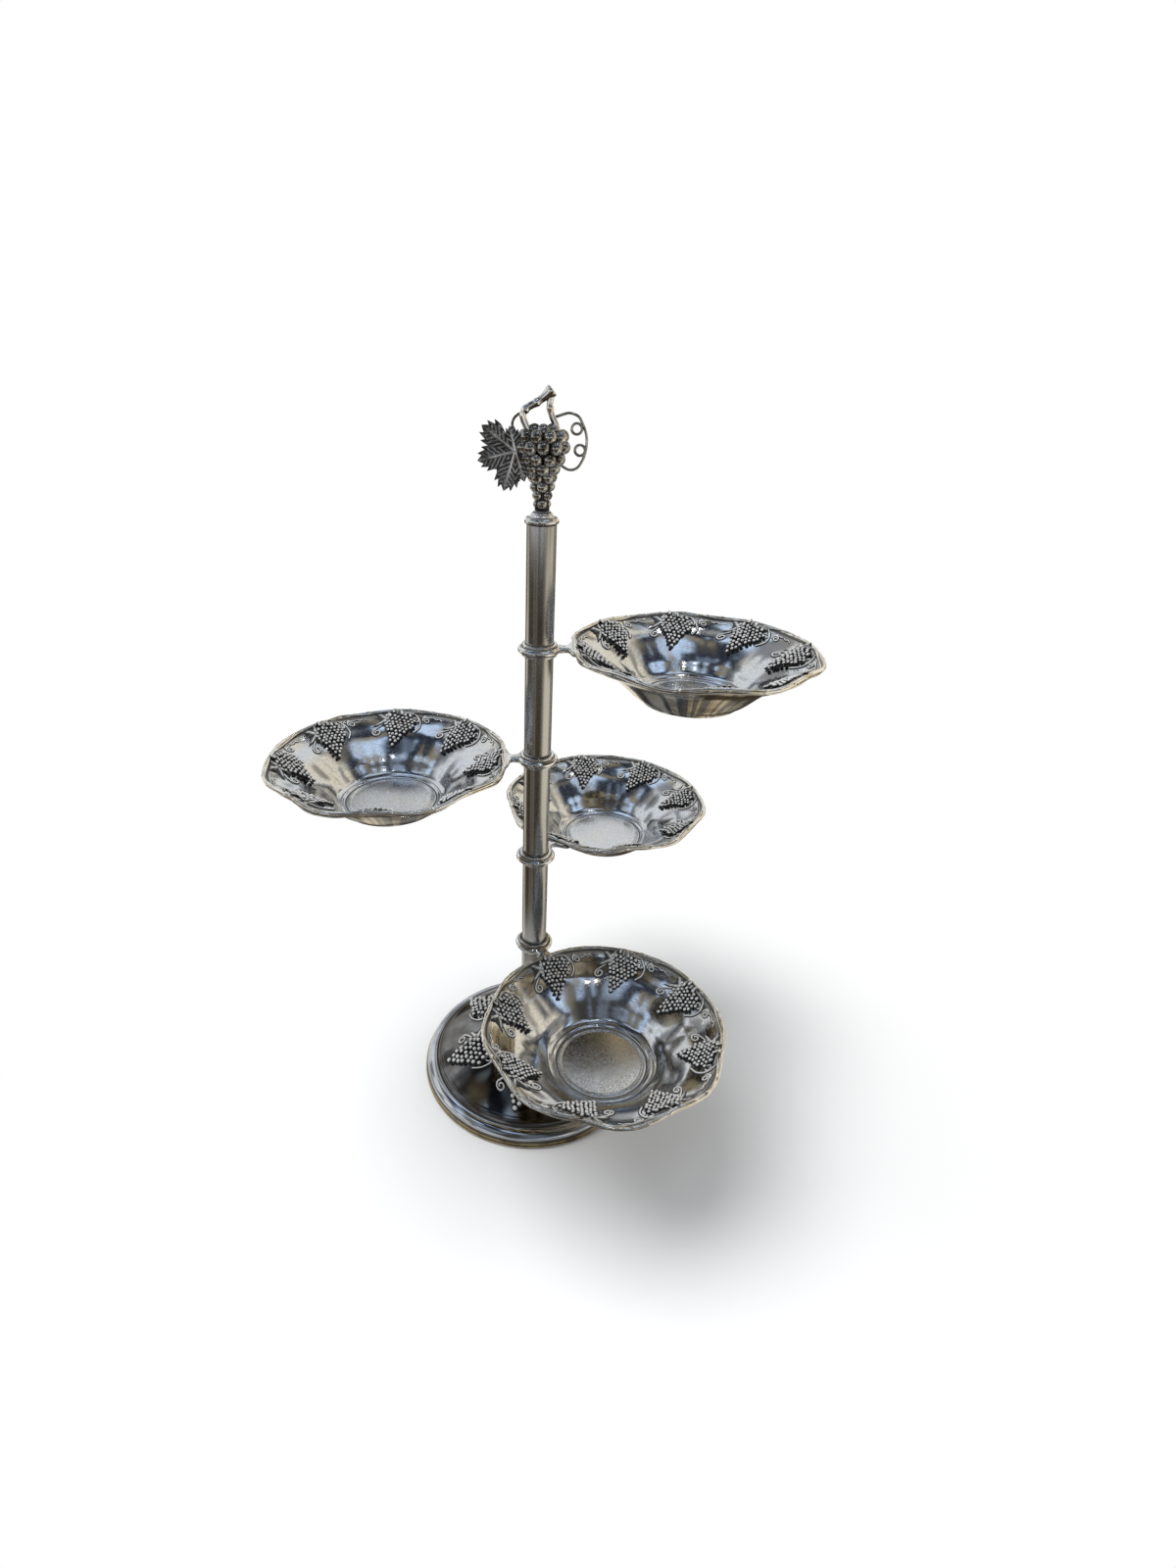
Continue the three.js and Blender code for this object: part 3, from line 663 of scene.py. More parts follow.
def silver_group():
    """Old silver plate: clean metal, warm tarnish in soft clouds and from one radius to another, the
    latter also painted reflection, fine rub marks along the grain, wiping scratches across it, and
    black in the hollows: oxide, and painted shade where the relief turns to its ground and grapes
    turn to each other. Its underside colour is painted reflection and painted shade on faces that
    point down, with black streaks of painted reflection, and inside the worn radius it is lighter,
    rougher and speckled."""
    painted_dark_reflection = (0.02, 0.016, 0.01, 1.0)
    worn_metal = (0.93, 0.92, 0.88, 1.0)
    rub_grey = (0.12, 0.12, 0.12, 1.0)
    oxide_and_shade_black = (0.012, 0.012, 0.013, 1.0)
    steps, given = shader_steps("Silver Finish", {
        "Place": ("Vector", None),
        "Grain": ("Vector", None),
        "Hollow": ("Float", 0.0),
        "Under": ("Float", 0.0),
        "Clean": ("Color", (0.6, 0.6, 0.6, 1.0)),
        "Tarnished": ("Color", (0.45, 0.38, 0.28, 1.0)),
        "Underside": ("Color", (0.3, 0.24, 0.16, 1.0)),
        "Tarnish": ("Float", 0.5),
        "Cloud Stretch": ("Vector", (1.0, 1.0, 1.0)),
        "Cloud Scale": ("Float", 30.0),
        "Edge Start": ("Float", 0.0),
        "Edge End": ("Float", 1.0),
        "Edge Tarnish": ("Float", 0.0),
        "Under Streaks": ("Float", 0.0),
        "Worn Radius": ("Float", 0.0),
        "Polished": ("Float", 1.0),
        "Grain Scale": ("Float", 900.0),
        "Smooth Roughness": ("Float", 0.12),
        "Rubbed Roughness": ("Float", 0.3),
    }, {"Color": "Color", "Roughness": "Float", "Metallic": "Float", "Height": "Float"})
    drawn = steps.vector("MULTIPLY", given["Place"], given["Cloud Stretch"])
    cloud = steps.noise(drawn, given["Cloud Scale"], 4.0, 0.6)
    warm = steps.math("MULTIPLY", steps.between(cloud, 0.42, 0.7), given["Tarnish"])
    radius, _, _ = steps.split(given["Grain"])
    # Tarnish from one radius to another: tarnish, and painted reflection that darkens the base's dome
    # and warms the bowls' flange
    edge = steps.between(radius, given["Edge Start"], given["Edge End"])
    edge = steps.math("MULTIPLY", edge, steps.between(cloud, 0.2, 0.6, 0.6, 1.0))
    warm = steps.math("MAXIMUM", warm, steps.math("MULTIPLY", edge, given["Edge Tarnish"]))
    rub = steps.noise(given["Grain"], given["Grain Scale"], 4.0, 0.65)
    wiping = 0.0
    for turn in (0.5, 2.1, 3.6):
        turned = steps.add("ShaderNodeVectorRotate", {
            "Vector": given["Place"],
            "Axis": (0.35, 0.2, 1.0),
            "Angle": turn,
        }).outputs[0]
        stretched = steps.vector("MULTIPLY", turned, (1.0, 22.0, 22.0))
        line = steps.between(steps.noise(stretched, 60.0, 1.0), 0.64, 0.72)
        wiping = steps.math("MAXIMUM", wiping, line)
    colour = steps.mix(warm, given["Clean"], given["Tarnished"])
    # Underside colour on faces that point down: painted reflection and painted shade
    shaded = steps.math("MULTIPLY", given["Under"], steps.between(cloud, 0.3, 0.6, 1.0, 0.65))
    colour = steps.mix(shaded, colour, given["Underside"])
    # Black streaks round the underside: painted reflection of a room's dark patches
    x, y, _ = steps.split(given["Place"])
    streaks = steps.between(steps.noise(steps.outward(x, y), 7.0, 3.0), 0.45, 0.53)
    black = steps.math("MULTIPLY", given["Under"], given["Under Streaks"])
    colour = steps.mix(steps.math("MULTIPLY", black, streaks), colour, painted_dark_reflection)
    specks = steps.between(steps.noise(given["Place"], 900.0, 3.0, 0.6), 0.44, 0.58, 0.4, 1.0)
    inside = steps.math("LESS_THAN", radius, given["Worn Radius"])
    worn = steps.math("MULTIPLY", inside, specks)
    colour = steps.mix(steps.math("MULTIPLY", worn, 0.45), colour, worn_metal)
    colour = steps.mix(steps.between(rub, 0.3, 0.75, 0.0, 0.22), colour, rub_grey)
    # Black in the hollows: oxide, and painted shade where the mask follows how grapes and relief face
    colour = steps.mix(steps.math("MULTIPLY", given["Hollow"], 0.96), colour, oxide_and_shade_black)
    span = steps.math("SUBTRACT", given["Rubbed Roughness"], given["Smooth Roughness"])
    wear = steps.math("MAXIMUM", steps.between(rub, 0.35, 0.7), steps.math("MULTIPLY", wiping, 0.8))
    polish = steps.math("ADD", given["Smooth Roughness"], steps.math("MULTIPLY", wear, span))
    dulled = steps.math("MULTIPLY", given["Hollow"], 0.35)
    polish = steps.math("ADD", polish, steps.math("MULTIPLY", worn, 0.12))
    rough = steps.math("ADD", polish, dulled, clamp=True)
    bare = steps.math("SUBTRACT", 1.0, steps.math("MULTIPLY", given["Hollow"], 0.5))
    metal = steps.math("MULTIPLY", bare, given["Polished"])
    height = steps.math("SUBTRACT", rub, steps.math("MULTIPLY", wiping, 0.6))
    results = {"Color": colour, "Roughness": rough, "Metallic": metal, "Height": height}
    steps.link(results, steps.output)
    return steps.tree


# Materials

def new_material(name):
    """A material with a Principled shader, and the steps that feed it."""
    material = bpy.data.materials.new(name)
    material.use_nodes = True
    steps = Steps(material.node_tree, material.node_tree.nodes["Material Output"])
    return material, steps, material.node_tree.nodes["Principled BSDF"]


def bumped(steps, height, distance, **normal):
    """The normal of a surface uneven by a height, over a distance in millimetres."""
    inputs = {"Strength": 1.0, "Distance": distance * MM, "Height": height, **normal}
    return steps.add("ShaderNodeBump", inputs).outputs[0]


def silver_material(name, clean, tarnished, underside, stretch, bump, dent, **values):
    """A silver finish in three colours: clean, tarnished, and an underside colour that is painted
    reflection and painted shade on faces that point down. Stretch draws the grain out along radius,
    way round and height. Bump and dent are the heights, in millimetres, of the grain and of the soft
    unevenness under it. Other values go to the silver group's inputs of the same names."""
    material, steps, shader = new_material(name)
    place = steps.add("ShaderNodeAttribute", attribute_name="place").outputs["Vector"]
    hollow = steps.add("ShaderNodeAttribute", attribute_name="hollow").outputs["Fac"]
    under = steps.add("ShaderNodeAttribute", attribute_name="under").outputs["Fac"]
    turned = steps.add("ShaderNodeGroup", {"Place": place}, node_tree=TURNED_PLACE).outputs[0]
    finish = steps.add("ShaderNodeGroup", {
        "Place": place,
        "Grain": steps.vector("MULTIPLY", turned, stretch),
        "Hollow": hollow,
        "Under": under,
        "Clean": (*clean, 1.0),
        "Tarnished": (*tarnished, 1.0),
        "Underside": (*underside, 1.0),
        **{label.replace("_", " ").title(): value for label, value in values.items()},
    }, node_tree=SILVER).outputs
    uneven = bumped(steps, steps.noise(place, 55.0, 2.0), dent)
    shader.inputs["Specular IOR Level"].default_value = 0.2
    steps.link({
        "Base Color": finish["Color"],
        "Roughness": finish["Roughness"],
        "Metallic": finish["Metallic"],
        "Normal": bumped(steps, finish["Height"], bump, Normal=uneven),
    }, shader)
    return material


def plain_material(name, colour, metallic, roughness, scale, stretch, mottle, bump):
    """An inner piece's material: one colour with its own grain, mottled and slightly uneven."""
    material, steps, shader = new_material(name)
    place = steps.add("ShaderNodeTexCoord").outputs["Object"]
    grain = steps.noise(steps.vector("MULTIPLY", place, stretch), scale, 5.0, 0.6)
    darker = (*[part * (1 - mottle) for part in colour], 1.0)
    shader.inputs["Metallic"].default_value = metallic
    steps.link({
        "Base Color": steps.mix(steps.between(grain, 0.3, 0.7), darker, (*colour, 1.0)),
        "Roughness": steps.between(grain, 0.25, 0.75, roughness * 0.8, roughness * 1.2),
        "Normal": bumped(steps, grain, bump),
    }, shader)
    return material


TURNED_PLACE = turned_place_group()
SILVER = silver_group()

# Each underside colour below is painted reflection and painted shade on faces that point down.
bowl_silver = silver_material(
    "Bowl silver", clean=(0.7, 0.72, 0.75), tarnished=(0.76, 0.68, 0.5),
    # Its gold underside and the black streaks on it are painted reflection of a warm room.
    underside=(0.5, 0.38, 0.18), stretch=(1.0, 0.35, 1.0), bump=0.004, dent=0.16,
    tarnish=0.35, cloud_scale=50.0, cloud_stretch=(1.0, 1.0, 0.25), under_streaks=0.9,
    # Its warm flange, from the edge tarnish, is tarnish and painted reflection.
    worn_radius=33 * MM, edge_start=70 * MM, edge_end=83 * MM, edge_tarnish=0.45,
    grain_scale=1100.0, smooth_roughness=0.08, rubbed_roughness=0.22,
)
rim_silver = silver_material(
    "Rim cane silver", clean=(1.0, 0.97, 0.9), tarnished=(0.5, 0.38, 0.2),
    # Its black underside is painted shade under the cane.
    underside=(0.03, 0.027, 0.02), stretch=(1.0, 0.4, 1.0), bump=0.012, dent=0.15,
    tarnish=0.7, cloud_scale=60.0,
    grain_scale=400.0, smooth_roughness=0.05, rubbed_roughness=0.1,
)
relief_silver = silver_material(
    "Relief silver", clean=(1.0, 1.0, 0.99), tarnished=(0.88, 0.82, 0.7),
    underside=(0.4, 0.38, 0.34), stretch=(1.0, 1.0, 1.0), bump=0.02, dent=0.05,
    tarnish=0.3, cloud_scale=90.0, polished=0.55,
    grain_scale=900.0, smooth_roughness=0.09, rubbed_roughness=0.18,
)
column_silver = silver_material(
    "Column silver", clean=(0.54, 0.535, 0.515), tarnished=(0.22, 0.18, 0.13),
    underside=(0.2, 0.2, 0.2), stretch=(1.0, 1.0, 0.03), bump=0.001, dent=0.015,
    tarnish=0.9, cloud_scale=22.0, cloud_stretch=(1.0, 1.0, 0.2),
    grain_scale=2200.0, smooth_roughness=0.2, rubbed_roughness=0.32,
)
collar_silver = silver_material(
    "Collar silver", clean=(0.84, 0.84, 0.83), tarnished=(0.5, 0.4, 0.24),
    underside=(0.1, 0.085, 0.06), stretch=(1.0, 0.1, 1.0), bump=0.006, dent=0.05,
    tarnish=0.55, cloud_scale=120.0,
    grain_scale=600.0, smooth_roughness=0.08, rubbed_roughness=0.16,
)
base_silver = silver_material(
    "Base silver", clean=(0.68, 0.7, 0.73), tarnished=(0.09, 0.078, 0.062),
    underside=(0.12, 0.09, 0.05), stretch=(1.0, 0.06, 1.0), bump=0.003, dent=0.06,
    # Its dark dome, from the edge tarnish, is painted dark reflection as well as tarnish.
    tarnish=0.4, cloud_scale=22.0, edge_start=85 * MM, edge_end=84 * MM, edge_tarnish=1.0,
    grain_scale=700.0, smooth_roughness=0.05, rubbed_roughness=0.12,
)
# The foot ring's brown and dark colour is painted reflection as well as tarnish.
foot_silver_painted_reflection = silver_material(
    "Foot ring silver", clean=(0.42, 0.33, 0.18), tarnished=(0.1, 0.07, 0.035),
    underside=(0.06, 0.05, 0.03), stretch=(1.0, 0.1, 1.0), bump=0.006, dent=0.05,
    tarnish=0.9, cloud_scale=60.0,
    grain_scale=600.0, smooth_roughness=0.07, rubbed_roughness=0.16,
)
finial_silver = silver_material(
    "Finial silver", clean=(0.52, 0.5, 0.46), tarnished=(0.05, 0.037, 0.024),
    # Its near-white underside is a painted highlight: bright crescents under the grapes.
    underside=(1.0, 0.98, 0.93), stretch=(1.0, 1.0, 1.0), bump=0.02, dent=0.12,
    tarnish=1.0, cloud_scale=150.0,
    grain_scale=500.0, smooth_roughness=0.03, rubbed_roughness=0.1,
)
leaf_silver = silver_material(
    "Leaf silver", clean=(0.9, 0.89, 0.87), tarnished=(0.28, 0.24, 0.19),
    underside=(0.3, 0.28, 0.25), stretch=(1.0, 1.0, 1.0), bump=0.02, dent=0.1,
    tarnish=1.0, cloud_scale=120.0, polished=0.97,
    grain_scale=500.0, smooth_roughness=0.1, rubbed_roughness=0.2,
)
steel = plain_material(
    "Zinc-coated steel", (0.5, 0.51, 0.53), metallic=1.0, roughness=0.32,
    scale=260.0, stretch=(1.0, 1.0, 0.2), mottle=0.25, bump=0.01,
)
brass = plain_material(
    "Turned brass", (0.62, 0.45, 0.2), metallic=1.0, roughness=0.26,
    scale=300.0, stretch=(1.0, 1.0, 6.0), mottle=0.2, bump=0.01,
)
nylon = plain_material(
    "Natural nylon", (0.78, 0.76, 0.68), metallic=0.0, roughness=0.45,
    scale=500.0, stretch=(1.0, 1.0, 1.0), mottle=0.06, bump=0.01,
)
felt = plain_material(
    "Green wool felt", (0.012, 0.022, 0.015), metallic=0.0, roughness=0.95,
    scale=1400.0, stretch=(1.0, 1.0, 1.0), mottle=0.6, bump=0.25,
)
felt.node_tree.nodes["Principled BSDF"].inputs["Sheen Weight"].default_value = 0.4

TURNED = turned_tree()
LOBED = lobed_tree()
WIRE = wire_tree()
SPRAY = spray_tree()
RELIEF = relief_tree(SPRAY)
BUNCH = bunch_tree()


# Forms

def turned(name, profile, sides, material, grooves=()):
    """A turned piece from its profile of [radius, z]. Each groove [radius, z, reach] is black to
    0.3 of its reach, and the black fades out at 1.3 of it."""
    points = np.array(profile, float)
    dark = np.zeros(len(points))
    for radius, z, reach in grooves:
        away = np.hypot(points[:, 0] - radius, points[:, 1] - z)
        dark = np.maximum(dark, np.clip(1.3 - away / reach, 0, 1))
    vertices = [(radius, 0, z) for radius, z in points]
    piece = new_object(name, vertices, attributes={"hollow": dark})
    add_tree(piece, TURNED, sides=sides, material=material)
    return piece


def wire(name, routes, material, sides=10):
    """Wires in one piece, from pairs of a route's points and its radius, or its radius at each
    point. A route that ends where it starts is a closed loop."""
    vertices, edges, radii = [], [], []
    for route, radius in routes:
        start = len(vertices)
        closed = np.allclose(route[0], route[-1])
        points = route[:-1] if closed else route
        vertices += [tuple(point) for point in points]
        radii += list(np.broadcast_to(radius, len(route))[:len(points)] * MM)
        edges += [(start + i, start + i + 1) for i in range(len(points) - 1)]
        if closed:
            edges.append((len(vertices) - 1, start))
    piece = new_object(name, vertices, edges, attributes={"stem": radii})
    add_tree(piece, WIRE, sides=sides, material=material)
    return piece


def leaf_mesh(outline, rings, lobes, thickness, vein, pitch):
    """A vine leaf round its stalk at the origin, in the XY plane, as vertices, faces and darkness.
    The outline is [degrees, radius]. Main veins run along the lobes' directions, and side veins
    branch off them like a herringbone, a pitch apart."""
    angles = np.radians([turn for turn, _ in outline])
    reach = np.array([radius for _, radius in outline])
    middles = np.radians(lobes)
    away = np.abs((angles[:, None] - middles[None, :] + math.pi) % math.tau - math.pi)
    nearest = away.min(axis=1)
    vertices, darkness = [(0, 0, thickness), (0, 0, -thickness)], [0, 1]
    count = len(outline)
    for side in (1, -1):
        for ring in range(1, rings + 1):
            share = ring / rings
            radius = reach * share
            along = radius * np.cos(nearest)
            across = radius * np.abs(np.sin(nearest))
            rib = np.exp(-(across / (0.4 * pitch)) ** 2) * (1 - 0.5 * share)
            chevron = (0.5 + 0.5 * np.cos(math.tau * (along - 0.85 * across) / pitch)) ** 3
            fade = np.clip(radius / pitch - 1, 0, 1) * np.clip((1 - share) * 12 + 0.3, 0, 1)
            raised = np.maximum(rib, chevron * 0.8 * fade)
            lift = thickness * (1 - 0.75 * share ** 4) + vein * raised * (side > 0)
            for turn, r, z, ridge in zip(angles, radius, lift, raised):
                vertices.append((r * math.cos(turn), r * math.sin(turn), side * z))
                darkness.append(np.clip(1.9 - 2.3 * ridge, 0, 1) if side > 0 else 0.6)
    faces = []
    for half in (0, 1):
        first = 2 + half * rings * count
        for i in range(count):
            j = (i + 1) % count
            faces.append((half, first + i, first + j))
            for ring in range(rings - 1):
                row = first + ring * count
                faces.append((row + i, row + count + i, row + count + j, row + j))
    edge = 2 + (rings - 1) * count
    other = edge + rings * count
    faces += [(edge + i, other + i, other + (i + 1) % count, edge + (i + 1) % count)
              for i in range(count)]
    return vertices, faces, darkness


def leaf_outline(length, lobes, teeth, notch, stalk, steps):
    """A vine leaf's outline as [degrees, radius], with that many steps between two corners: pointed
    lobes [direction, size] with teeth [turn, share], notches between lobes and a narrow stalk."""
    corners = list(stalk)
    for i, (direction, size) in enumerate(lobes):
        corners += [(direction + turn, size * share) for turn, share in teeth]
        if i + 1 < len(lobes):
            corners.append(((direction + lobes[i + 1][0]) / 2, notch))
    corners.append((stalk[0][0] + 360, stalk[0][1]))
    turns, shares = np.array(corners).T
    at = np.linspace(0, len(corners) - 1, (len(corners) - 1) * steps + 1)[:-1]
    index = np.arange(len(corners))
    return list(zip(np.interp(at, index, turns), length * np.interp(at, index, shares)))


# Base

def dome_point(share, sunk=0.0):
    """A point of the dome, from its shoulder (share 0) to its foot (share 1)."""
    fall = 0.45 * share + 0.55 * share ** 2
    return (
        DOME_SHOULDER[0] + (DOME_FOOT[0] - DOME_SHOULDER[0]) * share - 0.3 * sunk,
        DOME_SHOULDER[1] - (DOME_SHOULDER[1] - DOME_FOOT[1]) * fall - sunk,
    )


def base_profile():
    """The base's section: bore, inside of the dome, half-round moulding, bead, dome and socket."""
    inside = [dome_point(share, DOME_WALL) for share in np.linspace(0, 0.96, 20)]
    moulding = arc(MOULDING_CENTRE, MOULDING_RADII, 4, 90, 24)
    groove = [(85.0, 12.7), (84.7, 12.5), (84.4, 12.9), (84.1, 13.7)]
    dome = beaded([dome_point(share) for share in np.linspace(0.995, 0, 110)],
                  [(82.6, 0.75, 0.75), (80.3, 0.2, 0.4)])
    seat_under = SEAT_Z - SEAT_THICKNESS
    socket = rounded([
        (SOCKET_RADIUS + 0.8, COLUMN_FOOT_Z - 2.6, 0.2),
        (SOCKET_RADIUS + 0.8, COLUMN_FOOT_Z - 1.0, 0.5),
        (SOCKET_RADIUS, COLUMN_FOOT_Z, 0.4), (RECESS_RADIUS, COLUMN_FOOT_Z, 0.2),
        (RECESS_RADIUS, SEAT_Z, 0), (ROD_BORE, SEAT_Z, 0), (ROD_BORE, seat_under, 0),
    ])
    start = [(ROD_BORE, seat_under), (RECESS_RADIUS, seat_under)]
    edge = [(FOOT_RING_BORE, 4.2), (FOOT_RING_BORE, 3.6), (93, 3.6)]
    return start + inside + edge + moulding + groove + dome + socket


def foot_profile():
    """The foot ring's section, with a narrow bead over a wider one."""
    return rounded([
        (FOOT_RING_BORE, 6.4, 0), (FOOT_RING_BORE, 0.8, 0), (94.1, 0.8, 0.5), (94.9, 1.7, 0.5),
        (94.9, 2.9, 0.4), (94.0, 3.5, 0.15), (94.7, 4.3, 0.4), (94.6, 5.4, 0.4), (93.5, 6.3, 0.2),
        (FOOT_RING_BORE, 6.4, 0),
    ])


def disc(radius, bottom, top, fillet):
    """A disc's section."""
    return rounded([(0, bottom, 0), (radius, bottom, fillet), (radius, top, fillet), (0, top, 0)])


def make_base():
    """The base's shell with its foot ring and sprays of vine, the plate inside and the felt
    below."""
    grooves = [(93.7, 6.8, 1.0), (84.7, 12.6, 1.1), (81.3, 15.2, 0.6), (13.6, 44.2, 1.0)]
    shell = cast(turned("base_casting", base_profile(), BASE_SIDES, base_silver, grooves))
    spray = vine_spray(BASE_GRAPE_PITCH, scroll=False)
    relief = spray_object("base_spray", spray, BASE_SPRAY_SCALE)
    add_tree(relief, RELIEF, surface=shell, count=BASE_SPRAYS, circle_radius=56 * MM,
             first_angle=math.radians(25), top_side=-1.0, slope=0.9, sway=0.08, seed=5,
             material=relief_silver)
    cast(relief)
    foot = cast(turned("foot_blank", foot_profile(), BASE_SIDES, foot_silver_painted_reflection,
                       [(94.0, 3.5, 0.6), (94.9, 0.9, 0.6), (93.4, 6.4, 0.5)]))
    plate_profile = disc(PLATE_RADIUS, PLATE_BOTTOM_Z, PLATE_TOP_Z, 0.4)
    plate = cast(turned("base_plate_blank", plate_profile, PLATE_SIDES, steel))
    pad = cast(turned("felt_blank", disc(FELT_RADIUS, 0, FELT_TOP_Z, 0.5), PLATE_SIDES, felt))
    seat(shell, "base_shell_fine", "root", "silver_plate", "base_shell")
    seat(foot, "base_foot_ring", "root", "silver_plate")
    seat(relief, "base_vine_relief", "root", "silver_plate")
    seat(plate, "base_plate_disc", "root", "steel", "base_plate")
    seat(pad, "base_felt_pad", "root", "felt", "base_felt")


# Column

def make_column():
    """The five lengths of tube, from the seat in the base, between the collars, to the cap."""
    bottoms = [SEAT_Z] + [z + TUBE_END for z in TIER_Z]
    tops = [z - TUBE_END for z in TIER_Z] + [COLUMN_TOP_Z]
    for number, (bottom, top) in enumerate(zip(bottoms, tops), 1):
        profile = rounded([
            (TUBE_BORE, bottom, 0), (TUBE_RADIUS, bottom, 0.3), (TUBE_RADIUS, top, 0.3),
            (TUBE_BORE, top, 0), (TUBE_BORE, bottom, 0),
        ])
        blank = cast(turned(f"tube_blank_{number}", profile, TUBE_SIDES, column_silver))
        seat(blank, f"tube_{number}", "root", "silver_plate", f"column_tube_{number}")


# Vine sprays

def bunch_points(top, tip, half_widths, pitch):
    """A flat bunch of grapes, packed in staggered rows from its top to its tip and crowned in the
    middle: [x, y, height, radius] of each grape. Half widths are [share of the length, width]."""
    top, tip = np.array(top, float), np.array(tip, float)
    length = np.linalg.norm(tip - top)
    down = (tip - top) / length
    right = np.array((-down[1], down[0]))
    shares, widths = np.array(half_widths).T
    loose = np.random.default_rng(7)
    row_pitch = pitch * 0.88
    grapes = []
    for row in range(int(length / row_pitch) + 1):
        along = row * row_pitch
        width = np.interp(along / length, shares, widths)
        for step in range(-6, 7):
            across = (step + (row % 2) / 2) * pitch
            if abs(across) > width:
                continue
            stray = loose.uniform(-0.14, 0.14, 2) * pitch
            x, y = top + down * along + right * across + stray
            crown = math.sqrt(max(0, 1 - (across / (width + 1.5)) ** 2))
            height = 0.5 + 1.25 * crown + loose.uniform(-0.15, 0.25)
            grapes.append((x, y, height, pitch * loose.uniform(0.38, 0.46)))
    return grapes


def curl(centre, start, turns, outer, inner, steps=16):
    """A flat snail's curl that winds inwards from an angle in degrees."""
    shares = np.linspace(0, 1, steps)
    x, y = circle(outer + (inner - outer) * shares, np.radians(start + 360 * turns * shares))
    return list(zip(centre[0] + x, centre[1] + y))


def vine_spray(pitch, scroll):
    """The flat spray that repeats on bowls and base, x to the right and y to its top: grapes a
    pitch apart, stems with their radius, and leaves with their place, size and turn. The bowls'
    sprays have a scroll beside them, where two sprays meet."""
    grapes = bunch_points((1.2, 7.4), (-4.4, -14.6), [
        (0, 7.4), (0.15, 9.6), (0.38, 9.2), (0.6, 6.4), (0.85, 3.2), (1, 1.0),
    ], pitch)
    ear = smooth_path([(3, 9.4), (8.3, 9.2), (12.2, 5.2), (12.0, -0.6), (8.6, -5.2)], 6)
    stems = [
        (smooth_path([(-9.5, 2.5), (-12, 0.8), (-14.6, -1.2)], 4), 0.5),
        (curl((-13.6, -4.2), 100, 1.35, 3.0, 0.9), 0.5),
        (ear, 0.5),
        (curl((9.2, 5.2), 60, -1.1, 2.4, 0.9), 0.42),
        (smooth_path([(-0.5, 7), (0.4, 9.5), (2.4, 11.2)], 4), 0.85),
    ]
    if scroll:
        stems += [
            (curl((16.4, 6.0), 200, -1.45, 2.4, 0.7, 20), 0.42),
            (smooth_path([(14.1, 6.6), (15.4, 8.8), (18.6, 8.4), (21, 8.9)], 5), 0.38),
            (smooth_path([(21, 8.9), (23, 8.0), (25, 8.6), (27, 7.2)], 5), 0.34),
        ]
    leaves = [((-7.4, 5.0), 9.6, 12), ((5.6, 8.6), 5.6, -75)]
    return grapes, stems, leaves


# A spray's leaf: [direction, size] of its lobes and [turn, share] of the teeth on each
SMALL_LOBES = [(70, 0.7), (128, 1.0), (192, 0.92), (250, 0.8)]
SMALL_TEETH = [(-20, 0.62), (-9, 0.7), (0, 1.0), (9, 0.7), (20, 0.62)]


def spray_object(name, spray, scale):
    """The mesh of a flat spray, ready for its tree. Under each leaf lies a wider black one, which
    gives it a dark outline."""
    grapes, stems, leaves = spray
    vertices, edges, faces = [], [], []
    grape_radii, stem_radii, darkness = [], [], []

    def add_point(point, grape=0.0, stem=0.0, dark=0.0):
        vertices.append(np.array(point) * scale)
        grape_radii.append(grape * scale * MM)
        stem_radii.append(stem * scale * MM)
        darkness.append(dark)

    for x, y, height, radius in grapes:
        add_point((x, y, height), grape=radius)
    for path, radius in stems:
        start = len(vertices)
        for x, y in path:
            add_point((x, y, radius * 0.5), stem=radius)
        edges += [(start + i, start + i + 1) for i in range(len(path) - 1)]
    outline = leaf_outline(1.0, SMALL_LOBES, SMALL_TEETH, 0.5, [(-15, 0.3), (20, 0.35)], 2)
    lobes = [direction for direction, _ in SMALL_LOBES]
    for (x, y), size, turn in leaves:
        bend = Matrix.Rotation(math.radians(turn), 4, "Z")
        for grown, lift, dark in ((1.0, 0.35, None), (1.2, -0.35, 1.0)):
            shape = [(degrees, radius * size * grown) for degrees, radius in outline]
            points, leaf_faces, shades = leaf_mesh(
                shape, 5, lobes, thickness=0.5, vein=0.55, pitch=size * 0.3)
            start = len(vertices)
            for point, shade in zip(points, shades):
                at = bend @ Vector(point) + Vector((x, y, lift))
                add_point(at, dark=shade if dark is None else dark)
            faces += [tuple(start + corner for corner in face) for face in leaf_faces]
    return new_object(name, vertices, edges, faces, {
        "grape": grape_radii,
        "stem": stem_radii,
        "hollow": darkness,
    })


# Tiers

